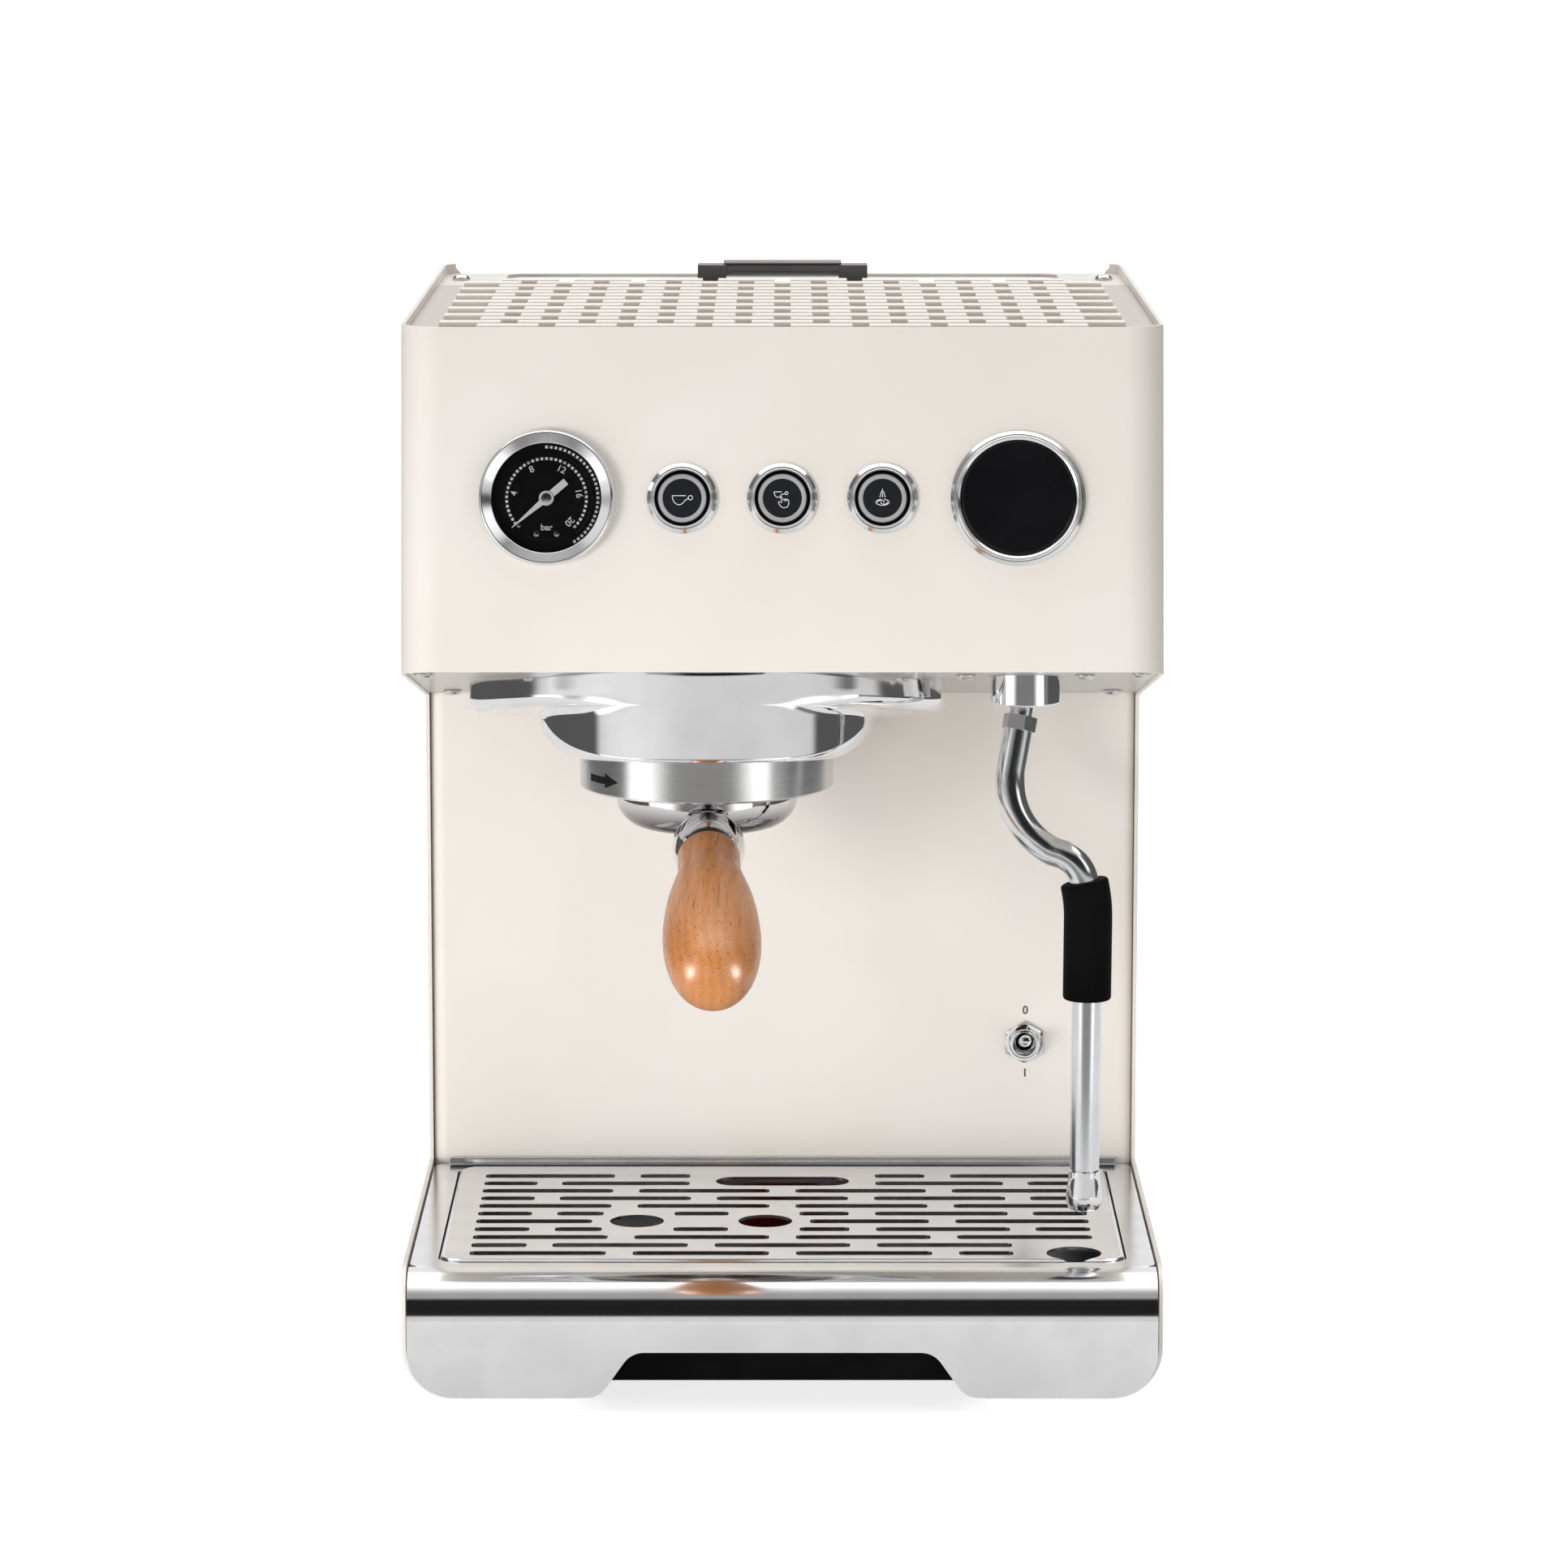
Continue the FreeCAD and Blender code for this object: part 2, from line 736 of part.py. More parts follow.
def make_group_collar():
    # The ring that the portafilter's lugs turn into; two gaps in its lip let them in.
    lip_z = lug_bottom_z - 0.5
    groove_z = lug_top_z + 0.5
    groove = lug_radius + 0.4
    bevel = 0.8
    outline = [(collar_bore - 1, collar_bottom_z), (collar_radius - bevel, collar_bottom_z),
               (collar_radius, collar_bottom_z + bevel), (collar_radius, collar_top_z),
               (collar_bore, collar_top_z), (collar_bore, groove_z), (groove, groove_z), (groove, lip_z),
               (collar_bore - 1, lip_z)]
    gaps = [sector(gasket_inner, groove, collar_bottom_z - 1, lip_z + 0.1, unlock_angle + turn, lug_angle + 6)
            for turn in (0, 180)]
    return on_group(turned(outline).cut(gaps))


def make_group_gasket():
    return on_group(turned([(gasket_inner, gasket_bottom_z), (gasket_outer, gasket_bottom_z),
                            (gasket_outer, collar_top_z), (gasket_inner, collar_top_z)]))


def make_shower_screen():
    inside = screen_radius - screen_sheet
    plate_top = screen_bottom_z + screen_sheet
    bore = screw_shank + 0.5
    screen = turned([(bore, screen_bottom_z), (screen_radius, screen_bottom_z), (screen_radius, collar_top_z),
                     (inside, collar_top_z), (inside, plate_top), (bore, plate_top)])
    holes = []
    for ring in screen_rings:
        for i in range(ring):
            angle = 2 * math.pi * i / ring
            holes.append(upright(0.9, ring * math.cos(angle), ring * math.sin(angle), screen_bottom_z - 1,
                                 plate_top + 1))
    return on_group(screen.cut(holes))


def make_screen_screw():
    low = screen_bottom_z - 1.8
    return on_group(turned([(0, low), (screw_head - 0.2, low), (screw_head + 0.6, low + 0.8),
                            (screw_head + 0.6, screen_bottom_z), (screw_shank + 0.4, screen_bottom_z),
                            (screw_shank + 0.4, collar_top_z), (0, collar_top_z)]))


def make_boiler():
    low = boiler_bottom_z
    top = low + boiler_height
    belt = low + 26
    wall = boiler_wall
    outline = [(0, low), (boiler_radius - 4, low), (boiler_radius, low + 4), (boiler_radius, belt),
               (boiler_radius + 4, belt), (boiler_radius + 4, belt + 6), (boiler_radius, belt + 6),
               (boiler_radius, top - 6), (boiler_radius - 6, top), (0, top)]
    inside = [(0, low + wall), (boiler_radius - wall, low + 4), (boiler_radius - wall, top - 6),
              (boiler_radius - 6 - wall / 3, top - wall), (wall, top - wall), (wall, top + 1), (0, top + 1)]
    return moved(turned(outline).cut(turned(inside)), at(group_x, boiler_y, 0))


def make_solenoid_valve():
    foot_z = boiler_bottom_z + boiler_height
    coil_z = foot_z + coil_base_height
    stem_z = coil_z + coil_height
    base = block(-coil_base, coil_base, -coil_base, coil_base, foot_z, coil_z)
    coil = upright(coil_radius, 0, 0, coil_z, stem_z)
    stem = upright(coil_stem, 0, 0, stem_z, stem_z + coil_stem_height)
    return moved(joined(base, [coil, stem]), at(group_x, boiler_y, 0))


def make_pump():
    body_rear_y = pump_rear_y - port_length
    body = rod(pump_radius, at(group_x, pump_front_y, pump_z), at(group_x, body_rear_y, pump_z))
    inlet = rod(port_radius, at(group_x, body_rear_y, pump_z), at(group_x, pump_rear_y, pump_z))
    outlet = upright(port_radius, group_x, outlet_y, pump_z, outlet_top_z)
    frame_rear_y = pump_frame_y + pump_frame
    frame = block(group_x - pump_frame, group_x + pump_frame, pump_frame_y, frame_rear_y, pump_z - pump_frame,
                  pump_z + pump_frame)
    legs = [block(x - pump_leg, x + pump_leg, pump_frame_y, frame_rear_y, pan_top_z, pump_z - pump_radius)
            for x in (group_x - pump_leg_reach, group_x + pump_leg_reach)]
    return joined(body, [inlet, outlet, frame] + legs)


def boiler_column():
    return upright(boiler_radius, group_x, boiler_y, 0, far)


def make_hoses():
    suction = bent_rod([at(valve_x, valve_y, socket_bottom_z), at(valve_x, valve_y, pump_z),
                        at(valve_x, pump_rear_y, pump_z)], [0, 18, 0], hose_radius)
    feed_z = boiler_bottom_z + 14
    pressure = bent_rod([at(group_x, outlet_y, outlet_top_z), at(group_x, outlet_y, feed_z),
                         at(group_x, boiler_y + boiler_radius - 0.3, feed_z)], [0, 25, 0], hose_radius)
    return Part.Compound([suction, pressure.cut(boiler_column())])


def make_steam_pipe():
    start = at(group_x + boiler_radius - 2, boiler_y, steam_pipe_top_z)
    points = [start, at(wand_x - 26, boiler_y, steam_pipe_top_z), at(wand_x, wand_y, steam_pipe_top_z),
              at(wand_x, wand_y, boss_top_z)]
    return bent_rod(points, [0, 10, 10, 0], steam_pipe_radius).cut(boiler_column())


def make_control_board():
    # A circuit board on four posts behind the splash panel, with its three largest components.
    back = splash_y + sheet
    face = back + board_gap + board_sheet
    posts = [rod(board_post, at(x, back, z), at(x, back + board_gap, z))
             for x in (board_left_x + board_post_inset, board_right_x - board_post_inset)
             for z in (board_bottom_z + board_post_inset, board_top_z - board_post_inset)]
    board = block(board_left_x, board_right_x, back + board_gap, face, board_bottom_z, board_top_z)
    components = [block(x0, x1, face, face + height, z0, z1) for x0, x1, z0, z1, height in board_components]
    return joined(board, posts + components)


def make_tank_seat():
    shelf_z = tank_bottom_z - seat_height
    half = tank_half + seat_margin
    shelf = block(-half, half, tank_front_y - deck_gap, rear_y - 2 * sheet, shelf_z, tank_bottom_z)
    socket = upright(socket_radius, valve_x, valve_y, socket_bottom_z, shelf_z)
    bore = upright(valve_radius + 0.4, valve_x, valve_y, socket_bottom_z + 4, tank_bottom_z + 1)
    return joined(shelf, [socket]).cut(bore)


def make_gauge_bezel():
    ring = gauge_radius
    seat = dial_radius + 0.2
    lip = dial_radius - 0.4
    glass_top = glass_seat + glass_sheet
    outline = [(seat, 0), (ring, 0), (ring, bezel_height - 1.1), (ring - 0.9, bezel_height),
               (lip, glass_top + 0.4), (lip, glass_top), (seat, glass_top)]
    return on_face(turned(outline), gauge_x)


def make_gauge_case():
    outside = gauge_hole - 0.4
    step = dial_radius + 0.1
    inside = dial_radius - 1.8
    cup = turned([(0, -gauge_depth), (outside, -gauge_depth), (outside, 0), (step, 0), (step, -dial_recess),
                  (inside, -dial_recess), (inside, -gauge_depth + sheet), (0, -gauge_depth + sheet)])
    stub = upright(port_radius, 0, 0, -gauge_depth - 10, -gauge_depth)
    return on_face(joined(cup, [stub]), gauge_x)


def make_gauge_dial():
    bore = spindle + 0.06
    top = dial_sheet - dial_recess
    disc = turned([(bore, -dial_recess), (dial_radius, -dial_recess), (dial_radius, top), (bore, top)])
    return on_face(disc, gauge_x)


def make_gauge_glass():
    edge = dial_radius + 0.1
    top = glass_seat + glass_sheet
    return on_face(turned([(0, glass_seat), (edge, glass_seat), (edge, top), (0, top)]), gauge_x)


def make_gauge_needle():
    tail = needle_tail_half
    outline = [(-needle_tail, -tail), (0, -tail), (needle_hub, -1), (needle_point, -0.2), (needle_point, 0.2),
               (needle_hub, 1), (0, tail), (-needle_tail, tail)]
    blade = flat([at(x, y, 1) for x, y in outline]).extrude(at(0, 0, 0.6))
    hub = upright(needle_hub, 0, 0, 0.6, 2.4)
    shaft = upright(spindle, 0, 0, -8, 0.6)
    needle = joined(blade, [hub, shaft])
    needle.rotate(at(0, 0, 0), z_axis, needle_zero)
    return on_face(needle, gauge_x)


def make_button_bezels():
    barrel = button_hole - 0.1
    bore = button_cap + 0.4
    return on_buttons(turned([(bore, -button_depth), (barrel, -button_depth), (barrel, 0), (button_radius, 0),
                              (button_radius, 2.2), (button_radius - 1, 3.4), (button_radius - 2, 3.4),
                              (bore, 2.4)]))


def make_button_switches():
    low = -2 * button_depth
    bore = button_stem + 0.4
    floor = -button_depth - 2 - button_travel - 1
    side = button_hole - 0.5
    return on_buttons(turned([(0, low), (side, low), (side, -button_depth), (bore, -button_depth),
                              (bore, floor), (0, floor)]))


def make_button(column):
    low = -button_depth - 2
    rim = button_cap - 2
    cap = turned([(0, low), (button_stem, low), (button_stem, -3), (button_cap, -3), (button_cap, 1.6),
                  (button_cap - 0.45, 2.1), (rim, 2.1), (rim - 0.3, 1.7), (0, 1.7)])
    return on_face(cap, column * button_pitch)


def make_display_bezel():
    ring = display_radius
    bore = lens_radius + 0.1
    return on_face(turned([(bore, 0), (ring, 0), (ring, 2.8), (ring - 1, 4), (ring - 2, 4), (bore, 3.2)]),
                   display_x)


def make_display_glass():
    bevel = 0.6
    return on_face(turned([(0, 0.8), (lens_radius, 0.8), (lens_radius, 3 - bevel), (lens_radius - bevel, 3),
                           (0, 3)]), display_x)


def make_display_module():
    return on_face(upright(display_hole - 1, 0, 0, -display_depth, 0.8), display_x)


def make_toggle_bushing():
    # Threaded bush with a flared mouth that leaves room for the lever to tip.
    bore = lever_ball + 0.4
    thread = toggle_thread
    return on_toggle(turned([(bore, -toggle_depth), (thread, -toggle_depth), (thread, 6), (thread - 0.4, 6.4),
                             (thread - 1.4, 6.4), (bore, 2)]), 0)


def make_toggle_nut():
    corner = toggle_flats / 2 / math.cos(math.radians(30))
    nut = hexagon(corner, 30, nut_height)
    nut = nut.common(turned([(0, 0), (corner, 0), (corner, nut_height - 0.8), (toggle_flats / 2, nut_height),
                             (0, nut_height)]))
    return on_toggle(nut.cut(panel_hole(toggle_thread + 0.05)), 0)


def make_toggle_switch():
    back = splash_y + toggle_depth
    return block(toggle_x - switch_half_width, toggle_x + switch_half_width, back, back + switch_depth,
                 toggle_z - switch_half_height, toggle_z + switch_half_height)


def make_toggle_lever():
    # A bat lever; its pivot ball sits in the bush, level with the panel.
    bat = turned([(0, 1), (1.4, 1), (2.1, lever_length - 5), (2.3, lever_length - 2),
                  (1.7, lever_length - 0.5), (0, lever_length)])
    return on_toggle(joined(Part.makeSphere(lever_ball), [bat]), toggle_tilt)


def make_steam_boss():
    # A collar under the plate, with a sleeve through it that holds the wand's ball.
    bevel = 0.6
    collar = turned([(0, boss_bottom_z), (boss_radius - bevel, boss_bottom_z),
                     (boss_radius, boss_bottom_z + bevel), (boss_radius, boss_top_z), (0, boss_top_z)])
    below = moved(collar, at(wand_x, wand_y, 0)).common(layer_below_plate(far / 2))
    sleeve = upright(sleeve_radius, wand_x, wand_y, boss_bottom_z + 1, boss_top_z)
    bore = upright(boss_bore, wand_x, wand_y, boss_bottom_z - 1, ball_z + ball_radius + 1)
    return joined(below, [sleeve]).cut(bore)


def make_ball_cup():
    # Its lower edge stays above the path of the wand's stem.
    ring = upright(cup_radius, wand_x, wand_y, ball_z - 2.5, ball_z + 5)
    return ring.cut(Part.makeSphere(ball_radius + ball_gap, wand_centre()))


def wand_centre():
    return at(wand_x, wand_y, ball_z)


def wand_lean():
    return (at(*wand_bend) - wand_centre()).normalize()


def make_wand_ball():
    centre = wand_centre()
    way = wand_lean()
    stem = rod(stem_radius, centre, centre + way * union_near)
    union = hexagon(union_radius, 0, union_far - union_near)
    union = moved(union, centre + way * union_near, FreeCAD.Rotation(z_axis, way))
    return joined(Part.makeSphere(ball_radius, centre), [stem, union])


def wand_rod(radius):
    start = wand_centre() + wand_lean() * union_far
    corners = [at(*place) for place in (wand_bend, wand_knee, wand_turn, wand_shoulder, wand_foot)]
    return bent_rod([start] + corners, wand_bend_radii, radius)


def make_wand_tube():
    return wand_rod(tube_radius)


def level_point(start, end, z):
    # The point at height z on the line through start and end.
    return start + (end - start) * ((z - start.z) / (end.z - start.z))


def make_wand_grip():
    # A sleeve that follows the tube into its upper bend.
    shoulder = at(*wand_shoulder)
    low = level_point(at(*wand_foot), shoulder, grip_bottom_z)
    high = level_point(shoulder, at(*wand_turn), grip_top_z)
    sleeve = bent_rod([low, shoulder, high], [0, shoulder_radius, 0], grip_radius)
    sleeve = round_edges(sleeve, grip_hem, lambda edge: (edge.CenterOfMass - low).Length < 0.1
                         or (edge.CenterOfMass - high).Length < 0.1)
    return sleeve.cut(wand_rod(tube_radius + grip_fit))


def make_wand_tip():
    # An acorn on the wand's straight lower run, heights in the machine's Z.
    low = tip_bottom_z
    outline = [(0, low), (tip_radius / 2, low), (tip_radius - 1.2, low + 1), (tip_radius - 0.2, low + 3.2),
               (tip_radius, low + 5.5), (tip_radius - 0.4, low + 9), (tube_radius + 0.4, low + 12.5),
               (tube_radius + 0.1, tip_top_z), (0, tip_top_z)]
    way = (at(*wand_shoulder) - at(*wand_foot)).normalize()
    shape = turned([(radius, (z - tip_top_z) / way.z) for radius, z in outline])
    return moved(shape, at(*wand_foot), FreeCAD.Rotation(z_axis, way))


def bowl_outside():
    cup = upright(bowl_radius, 0, 0, bowl_bottom_z, bowl_top_z)
    return round_edges(cup, bowl_hem, lambda edge: edge.BoundBox.ZMax < bowl_bottom_z + 1)


def make_portafilter_bowl():
    floor = bowl_bottom_z + 3
    inner = upright(bowl_radius - bowl_wall, 0, 0, floor, far)
    inner = round_edges(inner, bowl_hem - bowl_wall, lambda edge: edge.BoundBox.ZMax < floor + 1)
    lugs = [sector(bowl_radius - 1, lug_radius, lug_bottom_z, lug_top_z, turn, lug_angle)
            for turn in (0, 180)]
    drain = upright(drain_radius, 0, 0, bowl_bottom_z - 1, floor + 1)
    rim_seat = upright(bowl_radius - 0.5, 0, 0, bowl_top_z, far)
    return on_group(joined(bowl_outside(), lugs).cut([inner, drain, rim_seat]))


def make_filter_basket():
    rim = bowl_radius - 0.6
    wall = basket_sheet
    low = basket_bottom_z
    side = basket_radius
    return on_group(turned([(0, low), (side - 2.4, low), (side, low + 2.4), (side, bowl_top_z),
                            (rim, bowl_top_z), (rim, bowl_top_z + 1), (side - wall, bowl_top_z + 1),
                            (side - wall, low + 2.8), (side - 2.8, low + wall), (0, low + wall)]))


def make_portafilter_spout():
    low = spout_bottom_z
    tip = drain_radius + 2
    return on_group(turned([(drain_radius, low), (tip, low), (tip, low + 3), (spout_radius, low + 9),
                            (spout_radius, bowl_bottom_z), (drain_radius, bowl_bottom_z)]))


def make_portafilter_neck():
    # Arm and domed ferrule; the ferrule holds the end of the wooden handle.
    mouth = ferrule_start + ferrule_length
    dome = ferrule_radius
    socket = handle_neck - ferrule_wall
    outline = [(0, bowl_radius / 2), (arm_radius, bowl_radius / 2), (arm_radius, ferrule_start - 1),
               (dome - 0.5, ferrule_start + 0.5), (dome, ferrule_start + 1.5), (dome, ferrule_start + 4.5),
               (dome - 0.5, ferrule_start + 8.5), (handle_neck + 0.2, mouth), (socket, mouth),
               (socket, handle_start), (0, handle_start)]
    return on_handle(turned(outline)).cut(on_group(bowl_outside()))


def make_portafilter_handle():
    # Turned wood: a tenon in the ferrule, a straight neck, then an egg.
    end = handle_start + handle_length
    mouth = ferrule_start + ferrule_length
    stations = [(handle_neck, 24.5), (handle_neck + 1.7, 35), (handle_bulb - 1.4, 57), (handle_bulb, 84),
                (handle_bulb - 2.8, 110)]
    points = [at(radius, 0, handle_start + along) for radius, along in stations] + [at(0, 0, end)]
    curve = Part.BSplineCurve()
    curve.interpolate(Points=points, InitialTangent=at(0.1, 0, 1), FinalTangent=at(-1, 0, 0))
    tenon = handle_neck - ferrule_wall
    corners = [at(0, 0, end), at(0, 0, handle_start), at(tenon, 0, handle_start), at(tenon, 0, mouth),
               at(handle_neck, 0, mouth), points[0]]
    edges = [Part.LineSegment(first, last).toShape() for first, last in zip(corners, corners[1:])]
    return on_handle(Part.Face(Part.Wire([curve.toShape()] + edges)).revolve(at(0, 0, 0), z_axis, 360))


def basin_block(inset, z0, z1):
    # A tray-shaped block: rounded upright corners, and rounded long edges below.
    half = tray_half - inset
    front = tray_front_y + inset
    back = tray_rear_y - inset
    solid = rounded_block(-half, half, front, back, z0, z1, tray_corner - inset / sheet)
    return solid.common(trough(half, front - 1, back + 1, z0, tray_hem - inset))


def grid_block(inset, z0, z1):
    # A plate-shaped block on the drip grid's own outline, drawn in all round.
    half = grid_half - inset
    return rounded_block(-half, half, grid_front_y + inset, grid_rear_y - inset, z0, z1, grid_corner)


def make_drip_tray():
    # A deep tray with a ledge for the grid's skirt, and a flat rim round the grid.
    ledge_z = grid_top_z - grid_skirt
    basin = basin_block(sheet, tray_bottom_z + sheet, ledge_z - sheet)
    side = tray_half - sheet
    groove = rounded_block(-side, side, tray_front_y + sheet, tray_rear_y - sheet, ledge_z,
                           tray_top_z - sheet, tray_corner - 1)
    mouth = grid_block(-grid_gap, tray_top_z - 2 * sheet, tray_top_z + 1)
    well = grid_block(ledge_width, ledge_z - 2 * sheet, ledge_z + 1)
    tray = basin_block(0, tray_bottom_z, tray_top_z).cut([basin, groove, mouth, well])
    half = tray_half - tray_corner
    lip = block(-half, half, tray_rear_y - sheet, tray_rear_y, tray_top_z - sheet / 2, tray_top_z + tray_lip)
    return joined(tray, [lip])


def fascia_block(inset):
    # Bull-nosed bar: quarter round along its upper front edge, rounded long edges below.
    half = tray_half - inset
    front = fascia_front_y + inset
    top = tray_top_z - inset
    floor = fascia_bottom_z + inset
    bar = block(-half, half, front, tray_front_y, floor, top)
    bar = round_edges(bar, fascia_nose - inset, lambda edge: runs_along(edge, x_axis)
                      and edge.CenterOfMass.y < front + 1 and edge.CenterOfMass.z > top - 1)
    return bar.common(trough(half, -far, 0, floor, fascia_hem - inset))


def make_tray_fascia():
    low = fascia_bottom_z
    side = notch_bottom_half + notch_margin
    outline = [(-side, low), (-notch_bottom_half, low), (-notch_top_half, notch_top_z),
               (notch_top_half, notch_top_z), (notch_bottom_half, low), (side, low), (side, low - 10),
               (-side, low - 10)]
    radii = [1] + [notch_round] * 4 + [1] * 3
    notch = Part.Face(rounded_wire([at(x, -far, z) for x, z in outline], radii, True)).extrude(at(0, far, 0))
    return fascia_block(0).cut([fascia_block(fascia_wall), notch])


def slot(x0, x1, y, width, end):
    solid = block(x0, x1, y - width / 2, y + width / 2, 0, grid_top_z + 1)
    return round_edges(solid, end, lambda edge: runs_along(edge, z_axis))


def centred(middle, length):
    return middle - length / 2, middle + length / 2


def trimmed(spans, low, high):
    # What is left of each span outside low to high, where that is long enough to be a slot.
    pieces = []
    for x0, x1 in spans:
        pieces += [(x0, min(x1, low)), (max(x0, high), x1)]
    return [(x0, x1) for x0, x1 in pieces if x1 - x0 > least_slot]


def row_spans(row, y):
    # Long slots, staggered from row to row, that stop short of the round holes and the rear slot.
    if row % 2:
        spans = [centred(k * slot_period, slot_length) for k in (-1, 0, 1)]
        spans += [centred(side * short_slot_x, short_slot) for side in (-1, 1)]
    else:
        spans = [centred(k * slot_period / 2, slot_length) for k in (-3, -1, 1, 3)]
    if abs(y - hole_row_y) < 1.2 * slot_pitch:
        in_line = abs(y - hole_row_y) < slot_pitch / 2
        room = round_hole + (6.8 if in_line else 2.8)
        spans = trimmed(trimmed(spans, drain_hole_x - room, drain_hole_x + room), float_hole_x - room,
                        float_hole_x + room)
        if not in_line:
            spans.append(centred((drain_hole_x + float_hole_x) / 2, short_slot))
    if abs(y - rear_slot_y) < slot_pitch:
        spans = trimmed(spans, -rear_slot_half - round_hole, rear_slot_half + round_hole)
    if y < slot_first_y + 1.2 * slot_pitch:
        spans = trimmed(spans, corner_hole_x - 2.2 * round_hole, corner_hole_x + 2.2 * round_hole)
    return spans


def make_drip_grid():
    skirt_z = grid_top_z - grid_skirt
    under_top = grid_top_z - grid_sheet
    outer = grid_block(0, skirt_z, grid_top_z)
    outer = round_edges(outer, grid_round, lambda edge: edge.BoundBox.ZMin > grid_top_z - 0.01)
    under = grid_block(grid_sheet, skirt_z - 1, under_top)
    under = round_edges(under, grid_round - grid_sheet, lambda edge: edge.BoundBox.ZMin > under_top - 0.01)
    rounds = [(drain_hole_x, hole_row_y), (float_hole_x, hole_row_y), (corner_hole_x, slot_first_y)]
    holes = [upright(round_hole, x, y, 0, far) for x, y in rounds]
    rear_end = rear_slot_width / 2 - 0.1
    holes.append(slot(-rear_slot_half, rear_slot_half, rear_slot_y, rear_slot_width, rear_end))
    for row in range(slot_rows):
        y = slot_first_y + row * slot_pitch
        holes += [slot(x0, x1, y, slot_width, slot_end) for x0, x1 in row_spans(row, y)]
    return outer.cut(under).cut(holes)


def make_tray_float():
    # A box that floats in the waste water; its flag and its pip rise through the grid.
    inside = float_top_z - 4
    body = rounded_block(-float_half, float_half, hole_row_y - 12, rear_slot_y + 8, tray_bottom_z + sheet,
                         float_top_z, 5)
    flag = rounded_block(-flag_half, flag_half, rear_slot_y - flag_width / 2, rear_slot_y + flag_width / 2,
                         inside, flag_top_z, 4)
    pip = upright(pip_radius, float_hole_x, hole_row_y, inside, flag_top_z)
    return joined(body, [flag, pip])


def tank_block(inset, z0, z1, corner):
    half = tank_half - inset
    return rounded_block(-half, half, tank_front_y + inset, tank_rear_y - inset, z0, z1, corner)


def make_water_tank():
    outer = tank_block(0, tank_bottom_z, tank_top_z, tank_corner)
    inner = tank_block(tank_wall, tank_bottom_z + tank_wall, tank_top_z + 1, tank_corner - tank_wall)
    drain = upright(valve_bore, valve_x, valve_y, tank_bottom_z - 1, tank_bottom_z + tank_wall + 1)
    return outer.cut([inner, drain])


def make_tank_valve():
    # The stub under the tank's floor that plugs into the seat's socket.
    stub = upright(valve_radius, valve_x, valve_y, tank_bottom_z - valve_length, tank_bottom_z)
    return stub.cut(upright(valve_bore, valve_x, valve_y, 0, far))


def make_tank_lid():
    plate = tank_block(-lid_overhang, tank_top_z, tank_top_z + lid_height, tank_corner + 1)
    inset = tank_wall + lid_gap
    plug = tank_block(inset, tank_top_z - lid_plug, tank_top_z, tank_corner - inset)
    inner = inset + lid_wall
    under = tank_block(inner, tank_top_z - lid_plug - 1, tank_top_z, tank_corner - inner)
    return joined(plate, [plug.cut(under)])


def make_tank_handle():
    # A bridge pull: two feet and a flat bar, with room for fingers beneath.
    lid_z = tank_top_z + lid_height
    inner = pull_half - pull_foot
    feet = [block(x0, x0 + pull_foot, pull_y - 6, pull_y + 6, lid_z, pull_top_z - 1.5)
            for x0 in (-pull_half, inner)]
    bar = block(-inner - 1, inner + 1, pull_y - 5, pull_y + 5, pull_top_z - pull_bar, pull_top_z)
    bar = round_edges(bar, 2, lambda edge: runs_along(edge, x_axis))
    return joined(bar, feet)


makers = [
    make_body_shell, make_underside_plate, make_splash_panel, make_rear_panel, make_power_inlet,
    make_base_pan, make_feet, make_cup_tray, make_rear_deck, make_panel_screws, make_group_cowl,
    make_group_head, make_group_collar, make_group_gasket, make_shower_screen, make_screen_screw,
    make_boiler, make_solenoid_valve, make_pump, make_hoses, make_steam_pipe, make_control_board,
    make_tank_seat, make_gauge_bezel, make_gauge_case, make_gauge_dial, make_gauge_glass,
    make_gauge_needle, make_button_bezels, make_button_switches, make_display_bezel, make_display_glass,
    make_display_module, make_toggle_bushing, make_toggle_nut, make_toggle_switch, make_toggle_lever,
    make_steam_boss, make_ball_cup, make_wand_ball, make_wand_tube, make_wand_grip, make_wand_tip,
    make_portafilter_bowl, make_filter_basket, make_portafilter_spout, make_portafilter_neck,
    make_portafilter_handle, make_drip_tray, make_tray_fascia, make_drip_grid, make_tray_float,
    make_water_tank, make_tank_valve, make_tank_lid, make_tank_handle,
]

os.makedirs("parts", exist_ok=True)
for maker in makers:
    save(maker.__name__.replace("make_", ""), maker())
for column, name in zip(button_columns, ("button_cup", "button_manual", "button_steam")):
    save(name, make_button(column))
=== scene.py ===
import bpy
import json
import math
from mathutils import Matrix, Vector


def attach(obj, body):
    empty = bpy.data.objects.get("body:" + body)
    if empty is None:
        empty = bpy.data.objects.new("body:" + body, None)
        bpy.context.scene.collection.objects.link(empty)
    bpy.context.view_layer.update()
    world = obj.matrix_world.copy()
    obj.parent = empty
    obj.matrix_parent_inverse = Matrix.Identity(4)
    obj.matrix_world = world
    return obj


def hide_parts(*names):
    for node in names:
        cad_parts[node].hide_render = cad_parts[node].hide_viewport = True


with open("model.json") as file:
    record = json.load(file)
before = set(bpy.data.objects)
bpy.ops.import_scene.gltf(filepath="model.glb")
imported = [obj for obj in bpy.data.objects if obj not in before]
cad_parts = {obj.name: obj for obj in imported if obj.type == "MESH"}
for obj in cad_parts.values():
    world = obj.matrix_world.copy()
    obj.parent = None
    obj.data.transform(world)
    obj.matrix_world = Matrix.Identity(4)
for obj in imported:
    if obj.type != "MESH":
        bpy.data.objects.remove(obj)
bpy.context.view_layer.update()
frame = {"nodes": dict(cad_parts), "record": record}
mm = 0.001
record = frame["record"]
